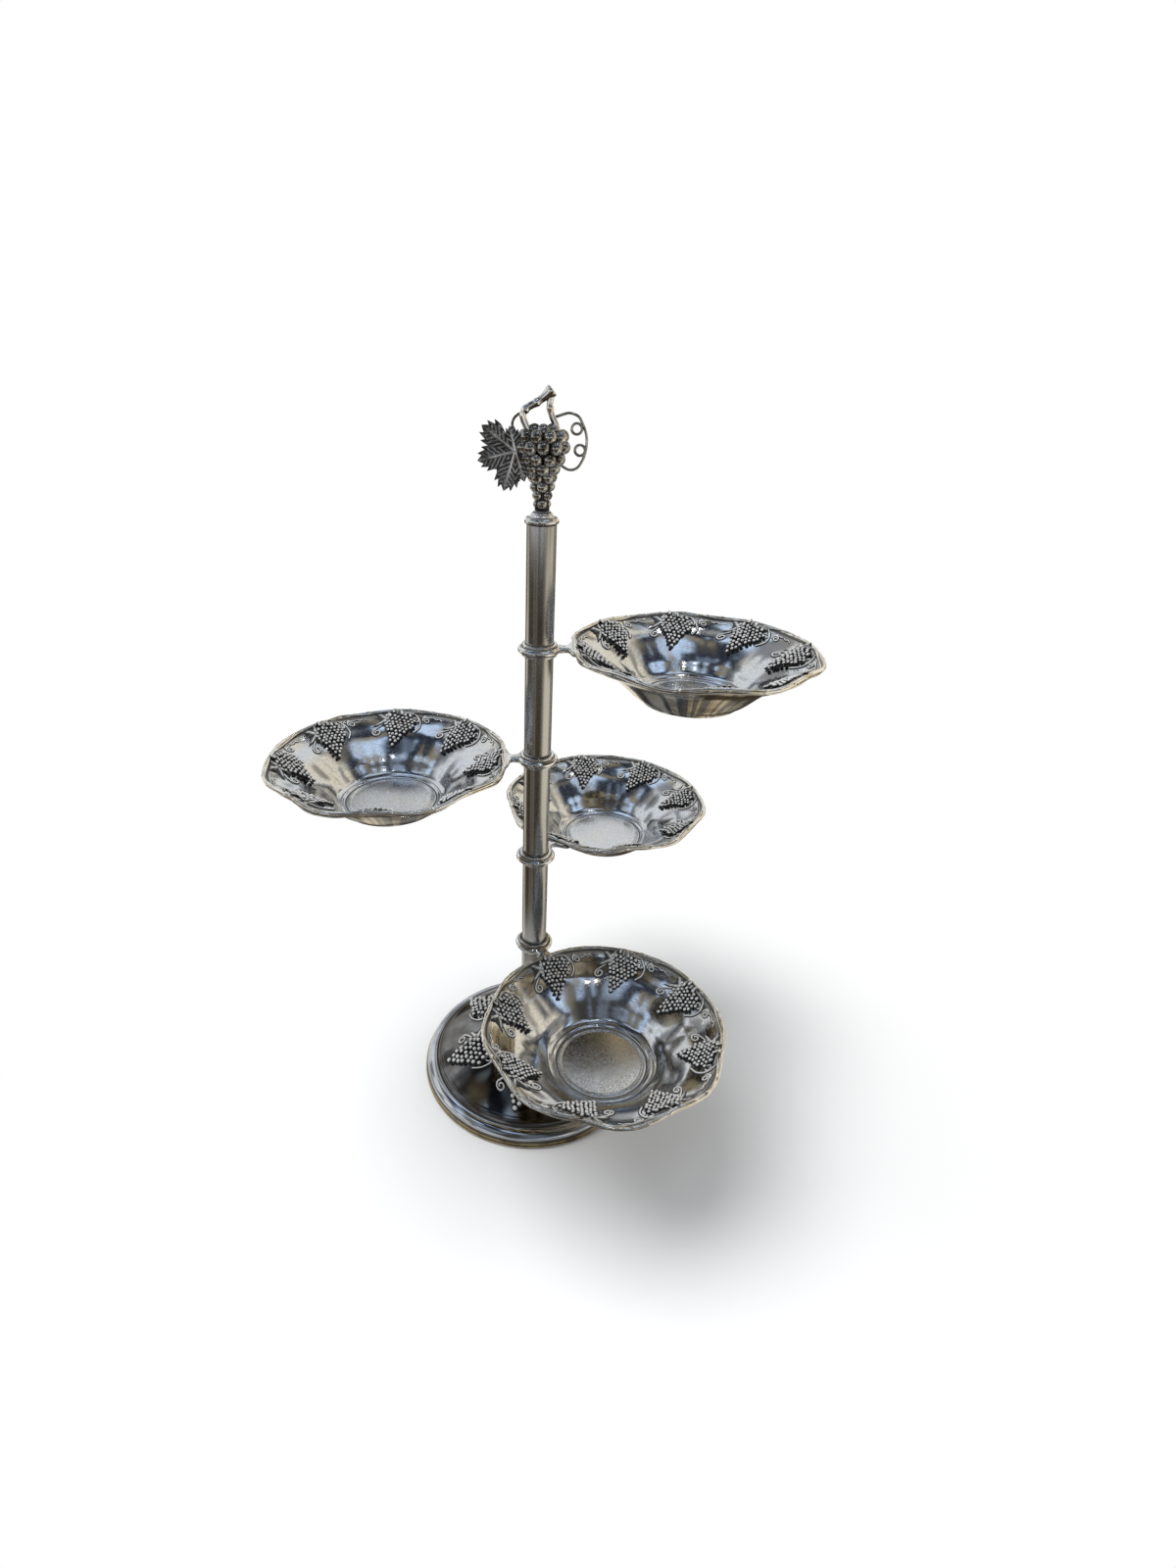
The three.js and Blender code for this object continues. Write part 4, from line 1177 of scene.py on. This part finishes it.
def bowl_profile():
    """The bowl's section from under its floor, round foot ring and rim, to the floor's middle."""
    wall_foot = (37.6, -36.6)
    under = rounded([
        (0, UNDER_FLOOR_Z, 0), (20, UNDER_FLOOR_Z, 0), (33.6, UNDER_FLOOR_Z, 0.5),
        (34.2, FOOT_Z, 0.5), (36.0, FOOT_Z, 0.6), (36.6, -37.3, 0.6), (*wall_foot, 0),
    ])
    outside = smooth_path([
        wall_foot, (42.4, -33.4), (52.7, -23.2), (64.7, -13.1), (76.7, -7.6), (84.6, -2.9),
    ], 7)[1:]
    rim = arc((CANE_CENTRE, 0), (1.1, 1.1), -100, 130, 14)
    wall = smooth_path([
        (37.6, -35.2), (40.5, -33.6), (43.6, -30.2), (47.5, -25.4), (53.5, -19.8), (64.2, -11.7),
        (75.9, -6.2), (85.6, -0.34),
    ], 13)[::-1]
    inside = beaded(wall, [(84.6, 0.8, 0.55), (82.7, 0.45, 0.4), (81.0, 0.3, 0.35)])
    floor_radii = np.concatenate([np.linspace(37.2, 28.5, 44), np.linspace(27, 3, 10), [0.0]])
    floor = beaded([(radius, FLOOR_Z) for radius in floor_radii], [
        (36.6, 1.15, 1.25), (31.6, 0.55, 0.45), (30.2, 0.3, 0.35),
    ])
    return under + [tuple(point) for point in outside] + rim + inside + floor


def rim_canes():
    """The knotted vine cane that forms a bowl's rim and two thin shoots that stray inside and below
    it, as closed routes with their radii."""
    turns = np.linspace(0, math.tau, 577)
    loose = np.random.default_rng(11)
    knots = 34
    stray = np.sin(3 * turns) + 0.6 * np.sin(11 * turns + 1)
    cane_radius = CANE_RADIUS - 0.28 + 0.1 * np.sin(7 * turns)
    for knot in range(knots):
        at = math.tau * (knot + loose.uniform(-0.3, 0.3)) / knots
        away = np.abs((turns - at + math.pi) % math.tau - math.pi)
        cane_radius += loose.uniform(0.2, 0.5) * np.exp(-(away / 0.016) ** 2)
    cane_radius = np.minimum(cane_radius, CANE_RADIUS + 0.12)
    shoot_stray = 0.9 * np.sin(5 * turns) + 0.6 * np.sin(13 * turns + 2)
    lower_stray = 0.5 * np.sin(7 * turns + 1) + 0.25 * np.sin(19 * turns)
    lower_height = -1.9 + 0.35 * np.sin(9 * turns) + 0.2 * np.sin(23 * turns)
    canes = [
        (CANE_CENTRE - 0.05 + 0.05 * stray, 0.1 * stray, cane_radius),
        (SHOOT_CENTRE + shoot_stray, 0.5 + 0.6 * shoot_stray + 0.25 * np.sin(17 * turns), 0.6),
        (LOWER_SHOOT_CENTRE + lower_stray, lower_height, 0.65),
    ]
    return [(np.column_stack([*circle(around, turns), height]), radius)
            for around, height, radius in canes]


def collar_profile():
    """The swivel ring's section: web on the bearing, recesses for the tubes, lips and bullnose."""
    half = [
        (RECESS_RADIUS, WEB_HALF, 0.1), (RECESS_RADIUS, COLLAR_HALF, 0.3),
        (SOCKET_RADIUS, COLLAR_HALF, 0.6), (SOCKET_RADIUS, 2.5, 0.25),
        (13.6, 2.2, 0.4), (COLLAR_RADIUS, 1.1, 0.9),
    ]
    lower = [(radius, -z, fillet) for radius, z, fillet in half]
    return rounded([(PILOT_BORE, -WEB_HALF, 0)] + lower + half[::-1]
                   + [(PILOT_BORE, WEB_HALF, 0), (PILOT_BORE, -WEB_HALF, 0)])


def arm_object(bowl):
    """The arm from the ring's middle, through its waist, to two horns that cradle the bowl's rim.
    Its top stays in the thickness of the bowl's wall."""
    rim_x = BOWL_OFFSET - BOWL_RADIUS
    waist_x = (COLLAR_RADIUS + rim_x) / 2
    edge = smooth_path([
        (ARM_ROOT, ARM_WAIST + 1.5), (waist_x - 2, ARM_WAIST + 0.3), (waist_x, ARM_WAIST),
        (rim_x - 0.6, 7.2), (rim_x + 0.6, 12.6), (rim_x + 2.6, ARM_SPREAD - 0.6),
        (rim_x + 6.0, ARM_SPREAD - 1.4),
    ], 6)
    middle = smooth_path([
        (ARM_ROOT, 0), (waist_x - 2, 0), (waist_x, 0), (rim_x + 0.5, 0), (rim_x + 3, 0),
        (rim_x + 5, 0), (rim_x + 7, 0),
    ], 6)
    shares = np.sin(np.linspace(-1, 1, 41) * math.pi / 2)
    rows = []
    for i, ((edge_x, width), (middle_x, _)) in enumerate(zip(edge, middle)):
        along = i / (len(edge) - 1)
        thickness = ARM_HALF * (0.9 + 0.1 * math.cos(along * math.tau))
        thickness *= min(1, 3.2 * (1.06 - along))
        row = []
        for side in (1, -1):
            for share in shares * side:
                x = middle_x + (edge_x - middle_x) * share * share
                z = side * thickness * (1 - abs(share) ** 3) ** 0.5
                row.append(clear_of_bowl(bowl, x, width * share, z))
        rows.append(row)
    around = len(rows[0])
    vertices = [point for row in rows for point in row]
    faces = [tuple(range(around)), tuple(range(len(vertices) - around, len(vertices)))]
    for i in range(len(rows) - 1):
        start = i * around
        for j in range(around):
            k = (j + 1) % around
            faces.append((start + j, start + k, start + around + k, start + around + j))
    return new_object("arm_blank", vertices, faces=faces)


def clear_of_bowl(bowl, x, y, z):
    """A point of the arm, lowered into the bowl's wall where it would stand in the bowl. The bowl's
    underside is found by a ray upwards from below its foot."""
    start = Vector((x - BOWL_OFFSET, y, FOOT_Z - 11)) * MM
    hit, place, _, _ = bowl.ray_cast(start, Vector((0, 0, 1)))
    if not hit:
        return (x, y, z)
    return (x, y, min(z, place.z / MM + RIM_ABOVE_COLLAR + ARM_SINK))


def make_tiers():
    """One bowl with its rim and relief and one collar with its arm, cast once and seated on each of
    the four tiers."""
    bowl = turned("bowl_blank", bowl_profile(), BOWL_SIDES, bowl_silver, [
        (84.0, -0.6, 1.6), (81.9, -2.2, 0.4), (86.0, 0.2, 0.7), (33.8, FLOOR_Z, 0.7),
    ])
    add_tree(bowl, LOBED, material=bowl_silver)
    cast(bowl)
    canes = wire("cane_blank", rim_canes(), rim_silver)
    add_tree(canes, LOBED, material=rim_silver)
    canes.modifiers.move(1, 0)
    cast(canes)
    spray = vine_spray(BOWL_GRAPE_PITCH, scroll=True)
    relief = spray_object("bowl_spray", spray, BOWL_SPRAY_SCALE)
    add_tree(relief, RELIEF, surface=bowl, material=relief_silver)
    cast(relief)
    ring = cast(turned("ring_blank", collar_profile(), TUBE_SIDES, collar_silver,
                       [(12.6, 2.4, 0.6), (12.6, -2.4, 0.6)]))
    arm = arm_object(bowl)
    arm.data.materials.append(collar_silver)
    arm.data.shade_smooth()
    cast(arm)
    offset = Matrix.Translation((BOWL_OFFSET * MM, 0, RIM_ABOVE_COLLAR * MM))
    for tier, azimuth, height in zip(TIERS, TIER_AZIMUTHS, TIER_Z):
        body = f"tier_{tier}"
        turn = Matrix.Rotation(math.radians(azimuth), 4, "Z")
        on_column = Matrix.Translation((0, 0, height * MM)) @ turn
        on_arm = on_column @ offset
        seat(bowl, f"bowl_shell_{tier}", body, "silver_plate", f"bowl_{tier}", place=on_arm)
        seat(canes, f"bowl_rim_cane_{tier}", body, "silver_plate", place=on_arm)
        seat(relief, f"bowl_vine_relief_{tier}", body, "aged_silver", place=on_arm)
        seat(ring, f"collar_ring_{tier}", body, "silver_plate", f"collar_{tier}", place=on_column)
        seat(arm, f"collar_arm_{tier}", body, "silver_plate", place=on_column)


# Finial

# Rows of grapes from the bunch's foot to its top: share of the height, share of the radius, count
# and share of a full grape's radius
GRAPE_ROWS = [
    (0.07, 0.24, 3, 0.74), (0.18, 0.27, 3, 0.8), (0.285, 0.34, 4, 0.84),
    (0.39, 0.43, 5, 0.92), (0.495, 0.59, 6, 0.98), (0.61, 0.8, 8, 1.0), (0.74, 1.0, 10, 1.0),
    (0.86, 0.9, 9, 1.0), (0.92, 0.42, 4, 1.0),
]
# The leaf: [direction, size] of its lobes and [turn, share] of the teeth on each
LEAF_LOBES = [(103, 0.6), (144, 1.0), (194, 0.95), (253, 0.97), (289, 0.74)]
LEAF_TEETH = [
    (-25, 0.7), (-20, 0.88), (-16, 0.78), (-10, 0.97), (-7, 0.87), (0, 1.0),
    (7, 0.87), (10, 0.97), (16, 0.78), (20, 0.88), (25, 0.7),
]
LEAF_LENGTH = 25.8

# Routes of cane, stalk and tendrils beside the bunch: x, y and height above the bunch's top
CANE_ROUTE = [
    (-9, 0, -5), (-12.6, 0, 2.4), (-12.7, 0, 6.2), (-9.6, 0, 9.4),
    (-4.3, 0, 12.2), (1.6, 0, 16.4), (5.4, 0, 19.6),
]
STALK_ROUTE = [(4.4, 0, 16), (3.6, 0, 11), (4.6, 0, 6), (7.4, 0, 0), (8.6, 0, -5)]
RIGHT_TENDRIL = [
    (6, 0, 3.6), (10, 0, 4.9), (15.8, 0, 6.4), (21.4, 0, 4.8), (24.4, 0, 0.4), (27.1, 0, -6.6),
    (27.1, 0, -14), (25.4, 0, -20.4), (22, 0, -25.6), (16.6, 0, -27), (9, 0, -23),
]
LEFT_TENDRIL = [
    (-12, 0, 5), (-15.6, 0, 5.2), (-BUNCH_RADIUS - 5.4, 0, 1.8), (-BUNCH_RADIUS - 5.8, 0, -2.4),
    (-BUNCH_RADIUS - 3.4, -1, -7), (-BUNCH_RADIUS - 1.4, -3, -10),
]
TENDRIL_RADIUS = 0.9
CURL_RADIUS = 3.2


def cap_profile():
    """The cap's section: spigot in the tube, bead over its end, step and neck."""
    spigot_radius, spigot_z = TUBE_BORE - 0.2, CAP_Z - CAP_SPIGOT
    bore_top, neck_top = CAP_Z + 3.4, BUNCH_FOOT_Z - JOINT_GAP
    return rounded([
        (ROD_BORE, spigot_z, 0), (spigot_radius, spigot_z, 0.3), (spigot_radius, CAP_Z, 0),
        (TUBE_RADIUS + 0.5, CAP_Z, 0.3), (CAP_RADIUS, CAP_Z + 1.0, 0.8),
        (CAP_RADIUS, CAP_Z + 3.1, 0.9), (9.9, CAP_Z + 4.4, 0.4), (7.6, CAP_Z + 4.6, 0.3),
        (7.5, CAP_Z + 6.4, 0.7), (5.9, CAP_Z + 7.4, 0.5), (5.6, neck_top, 0.1), (0, neck_top, 0),
        (0, bore_top, 0), (ROD_BORE, bore_top, 0), (ROD_BORE, spigot_z, 0),
    ])


def bunch_grapes():
    """The finial's grapes, row by row from the foot, each a little out of line with its row."""
    loose = np.random.default_rng(4)
    points, radii = [], []
    for row, (height, reach, count, size) in enumerate(GRAPE_ROWS):
        for i in range(count):
            turn = math.tau * (i + (row % 2) / 2) / count - math.pi / 2
            radius = BUNCH_RADIUS * reach
            points.append((
                radius * math.cos(turn),
                BUNCH_FLATNESS * radius * math.sin(turn),
                BUNCH_FOOT_Z + BUNCH_HEIGHT * height + loose.uniform(-0.3, 0.3),
            ))
            radii.append(GRAPE_RADIUS * size * loose.uniform(0.93, 1.0) * MM)
    return points, radii


def lifted(route):
    """A route beside the bunch with its heights taken from the bunch's top."""
    return np.array(route, float) + (0, 0, BUNCH_TOP_Z)


def cane_wires():
    """The cane, with knots and a flared, pointed cut end, and the stalk that leaves it."""
    cane = smooth_path(lifted(CANE_ROUTE), 12)
    share = np.linspace(0, 1, len(cane))
    radius = 2.3 + 0.5 * np.exp(-((share - 0.42) / 0.04) ** 2)
    radius += 0.45 * np.exp(-((share - 0.66) / 0.03) ** 2)
    radius += 1.7 * np.clip(share * 5 - 3.7, 0, 1)
    radius[-1] *= 0.55
    stalk = smooth_path(lifted(STALK_ROUTE), 10)
    down = np.linspace(0, 1, len(stalk))
    stalk_radius = 2.0 + 0.35 * np.exp(-((down - 0.35) / 0.08) ** 2) + 0.5 * down ** 3
    return [(cane, radius), (stalk, stalk_radius)]


def ring_route(x, drop):
    """A closed curl of wire against the inside of the right tendril."""
    turns = np.linspace(0, math.tau, 41)
    across, up = circle(CURL_RADIUS, turns)
    return lifted(np.column_stack([x + across, 0.15 * np.sin(turns), up - drop]))


def tendril_wires(*routes):
    """A blank of tendrils along those routes."""
    return cast(wire("tendril_blank", [(route, TENDRIL_RADIUS) for route in routes], finial_silver))


def core_profile():
    """The section of the core that closes the gaps between the grapes. It is black all over, painted
    shade in the gaps.
    """
    waist_z, middle_z, shoulder_z = [BUNCH_FOOT_Z + BUNCH_HEIGHT * share for share in CORE_SHARES]
    top_z = BUNCH_TOP_Z - 5
    return rounded([
        (0, BUNCH_FOOT_Z, 0), (4.9, BUNCH_FOOT_Z, 0.3), (4.3, waist_z, 1), (8.6, middle_z, 3),
        (11.8, shoulder_z, 3), (6, top_z, 3), (0, top_z, 0),
    ])


def leaf_object():
    """The finial's vine leaf, slightly cupped, in the XY plane."""
    outline = leaf_outline(LEAF_LENGTH, LEAF_LOBES, LEAF_TEETH, 0.62, [(0, 0.2), (70, 0.3)], 3)
    lobes = [direction for direction, _ in LEAF_LOBES]
    vertices, faces, dark = leaf_mesh(outline, 34, lobes, thickness=0.55, vein=0.6, pitch=2.9)
    cupped = [(x, y, z + LEAF_CUP * (x * x + y * y)) for x, y, z in vertices]
    leaf = new_object("leaf_blank", cupped, faces=faces, attributes={"hollow": dark})
    leaf.data.materials.append(leaf_silver)
    leaf.data.shade_smooth()
    return leaf


def make_finial():
    """Cap, bunch of grapes, cane, leaf and tendrils on the column's top."""
    cap = cast(turned("cap_blank", cap_profile(), TUBE_SIDES, collar_silver,
                      [(9.6, CAP_Z + 4.7, 0.8), (5.9, CAP_Z + 7.6, 0.7)]))
    points, radii = bunch_grapes()
    grapes = new_object("grapes_blank", points, attributes={"grape": radii})
    add_tree(grapes, BUNCH, material=finial_silver)
    cast(grapes)
    # The core is black all over: painted shade in the gaps between the grapes.
    painted_shade_all_over = [(6, BUNCH_FOOT_Z + BUNCH_HEIGHT / 2, 90)]
    core = cast(turned("core_blank", core_profile(), CORE_SIDES, finial_silver, painted_shade_all_over))
    core.data.transform(Matrix.Diagonal((1, BUNCH_FLATNESS, 1, 1)))
    cane = cast(wire("cane_wire_blank", cane_wires(), rim_silver, 16))
    right = tendril_wires(smooth_path(lifted(RIGHT_TENDRIL), 8), ring_route(20.9, 2.6),
                          ring_route(23.3, 15.2))
    left = tendril_wires(smooth_path(lifted(LEFT_TENDRIL), 8))
    leaf = cast(leaf_object())
    upright = Matrix.Translation(Vector(LEAF_STALK) * MM) @ Matrix.Rotation(math.pi / 2, 4, "X")
    seat(cap, "cap", "root", "silver_plate", "finial_cap")
    seat(grapes, "grapes", "root", "aged_silver", "finial_bunch")
    seat(core, "bunch_core", "root", "aged_silver")
    seat(cane, "cane_and_stalk", "root", "aged_silver", "finial_cane")
    seat(leaf, "vine_leaf", "root", "aged_silver", "finial_leaf", place=upright)
    seat(right, "tendril_right", "root", "aged_silver", "finial_tendril_right")
    seat(left, "tendril_left", "root", "aged_silver", "finial_tendril_left")


# Inner works

def finish_inner_works():
    """Gives the CAD's rod, nut, washers, plugs and bushes their materials."""
    finishes = {
        "tie_rod": steel, "base_washer": steel, "base_nut": steel, "tube_plug": brass,
        "pivot_bush": brass, "lower_thrust_washer": nylon, "upper_thrust_washer": nylon,
    }
    for node, piece in frame["nodes"].items():
        material = finishes.get(node.rstrip("_12345"))
        if material:
            piece.data.materials.clear()
            piece.data.materials.append(material)


# Studio

WHITE = (1.0, 1.0, 1.0, 1.0)
PHOTO_SIZE = (1200, 1600)
FLOOR_HALF = 4000


def make_camera():
    """The camera at the photograph's place. Its centre in the photograph and its focal length, both
    in pixels, were fitted to the column and the bowls."""
    width, height = PHOTO_SIZE
    focal = 813.46
    centre_x, centre_y = 562.7, 764.5
    place = (0, -0.537, 0.566)
    pitch, yaw, roll = 0.441958, 0.0193224, -0.0271172
    data = bpy.data.cameras.new("Photograph")
    data.sensor_width = 36.0
    data.lens = focal * data.sensor_width / height
    data.shift_x = (width / 2 - centre_x) / height
    data.shift_y = (centre_y - height / 2) / height
    data.clip_start = 0.01
    camera = bpy.data.objects.new("Photograph", data)
    bpy.context.scene.collection.objects.link(camera)
    turn = Matrix.Rotation(-yaw, 4, "Z") @ Matrix.Rotation(math.pi / 2 - pitch, 4, "X")
    camera.matrix_world = Matrix.Translation(place) @ turn @ Matrix.Rotation(-roll, 4, "Z")
    bpy.context.scene.camera = camera


def make_floor():
    """A wide pale floor that takes shadows and fades to plain white away from the object. Metal
    sees the warm and dark patches of a room's floor there instead."""
    square = [(-FLOOR_HALF, -FLOOR_HALF, 0), (FLOOR_HALF, -FLOOR_HALF, 0),
              (FLOOR_HALF, FLOOR_HALF, 0), (-FLOOR_HALF, FLOOR_HALF, 0)]
    floor = new_object("studio_floor", square, faces=[(0, 1, 2, 3)])
    dark_patch, pale_patch = (0.07, 0.055, 0.04, 1.0), (1.0, 0.94, 0.8, 1.0)
    material, steps, shader = new_material("Pale floor")
    x, y, _ = steps.split(steps.add("ShaderNodeTexCoord").outputs["Object"])
    away = steps.off_axis(x, y)
    path = steps.add("ShaderNodeLightPath").outputs
    seen = steps.math("MULTIPLY", steps.between(away, 0.2, 0.46), path["Is Camera Ray"])
    mirrored = steps.math("MULTIPLY", steps.between(away, 0.08, 0.24), path["Is Glossy Ray"])
    patches = steps.between(steps.noise(steps.outward(x, y), 1.5, 1.0), 0.45, 0.6)
    room = steps.mix(patches, dark_patch, pale_patch)
    shown = steps.mix(path["Is Camera Ray"], room, WHITE)
    far = steps.add("ShaderNodeEmission", {"Color": shown, "Strength": 1.0})
    ground = steps.add("ShaderNodeMixShader", {
        0: steps.math("ADD", seen, mirrored),
        1: shader.outputs[0],
        2: far.outputs[0],
    })
    steps.link({"Surface": ground.outputs[0]}, steps.output)
    shader.inputs["Base Color"].default_value = (0.93, 0.93, 0.93, 1.0)
    shader.inputs["Roughness"].default_value = 0.9
    shader.inputs["Specular IOR Level"].default_value = 0.1
    floor.data.materials.append(material)


def make_lamp(name, kind, energy, place, aim, size, colour=(1.0, 1.0, 1.0)):
    """A lamp at a place in metres, aimed at another. A sun's size is its angle in degrees. Metal
    mirrors only the small lamps."""
    data = bpy.data.lights.new(name, kind)
    data.energy = energy
    data.color = colour
    if kind == "SUN":
        data.angle = math.radians(size)
    else:
        data.shape = "DISK"
        data.size = size
    lamp = bpy.data.objects.new(name, data)
    lamp.visible_glossy = size < 0.2
    bpy.context.scene.collection.objects.link(lamp)
    back = Vector(place) - Vector(aim)
    lamp.matrix_world = Matrix.Translation(place) @ back.to_track_quat("Z", "Y").to_matrix().to_4x4()


def make_world():
    """A white surround for the camera and an even pale one for what is lit. Metal sees a room in
    it: bright windows and warm shelves on a dark ceiling, a pale horizon that turns warm to the
    right and is dark in the corners, and dimness behind the camera."""
    lit_grey = (0.43, 0.44, 0.45, 1.0)
    dark_ceiling, window, shelf = (
        (0.022, 0.028, 0.045, 1.0), (0.75, 0.95, 1.25, 1.0), (0.34, 0.29, 0.2, 1.0))
    cool_wall, warm_wall = (0.88, 0.91, 0.94, 1.0), (0.98, 0.9, 0.74, 1.0)
    dark_corner, dim_room = (0.1, 0.1, 0.11, 1.0), (0.06, 0.055, 0.05, 1.0)
    world = bpy.data.worlds.new("Studio")
    bpy.context.scene.world = world
    world.use_nodes = True
    steps = Steps(world.node_tree)
    view = steps.add("ShaderNodeTexCoord").outputs["Generated"]

    def patches(offset, scale, low, high, most=1.0):
        """Soft patches of the room, from a noise of that scale, none stronger than most."""
        noise = steps.noise(steps.vector("ADD", view, offset), scale, 1.0)
        return steps.between(noise, low, high, 0.0, most)

    x, y, z = steps.split(view)
    leaning = steps.math("SUBTRACT", z, steps.math("MULTIPLY", y, 0.5))
    ceiling = steps.mix(patches((0.0, 0.0, 0.0), 2.6, 0.46, 0.58), dark_ceiling, window)
    ceiling = steps.mix(patches((1.3, 4.2, 0.6), 2.2, 0.5, 0.7), ceiling, shelf)
    horizon = steps.mix(steps.between(x, 0.0, 0.6), cool_wall, warm_wall)
    horizon = steps.mix(patches((0.4, 0.9, 2.7), 3.4, 0.5, 0.6, 0.75), horizon, dark_corner)
    room = steps.mix(steps.between(leaning, 0.4, 0.7), horizon, ceiling)
    behind = steps.between(y, -0.7, -0.15, 1.0, 0.0)
    dim = steps.math("MULTIPLY", behind, steps.between(z, 0.05, 0.3, 0.0, 0.85))
    room = steps.mix(dim, room, dim_room)
    path = steps.add("ShaderNodeLightPath").outputs
    seen = steps.math("MAXIMUM", path["Is Glossy Ray"], path["Is Transmission Ray"])
    lit = steps.mix(seen, lit_grey, room)
    background = world.node_tree.nodes["Background"]
    steps.link({"Color": steps.mix(path["Is Camera Ray"], lit, WHITE)}, background)
    background.inputs["Strength"].default_value = 1.0


def make_studio():
    """Camera, floor, surround, a broad key light, soft panels and small round spots."""
    make_camera()
    make_floor()
    make_world()
    middle = (0, 0, 0.2)
    make_lamp("key", "SUN", 2.3, (-0.4, 0.08, 0.91), (0, 0, 0), 42)
    for name, energy, place, size, colour in (
        ("panel_front", 1.0, (-0.08, -0.72, 1.3), 0.5, (0.74, 0.86, 1.0)),
        ("panel_left", 0.8, (-0.8, -0.25, 1.1), 0.4, (0.9, 0.95, 1.0)),
        ("panel_right", 0.8, (0.85, -0.1, 1.0), 0.4, (1.0, 0.93, 0.82)),
        ("spot_left", 0.07, (-0.1, -0.4, 1.3), 0.05, (0.85, 0.93, 1.0)),
        ("spot_right", 0.12, (0.22, -0.45, 1.3), 0.05, (1.0, 0.95, 0.86)),
        ("spot_back", 0.07, (0.3, 0.5, 1.3), 0.05, (1.0, 1.0, 1.0)),
    ):
        make_lamp(name, "AREA", energy, place, middle, size, colour)
    bpy.context.scene.view_settings.view_transform = "Standard"


make_studio()
make_base()
make_column()
make_tiers()
make_finial()
finish_inner_works()
for blank in BLANKS:
    bpy.data.objects.remove(blank)
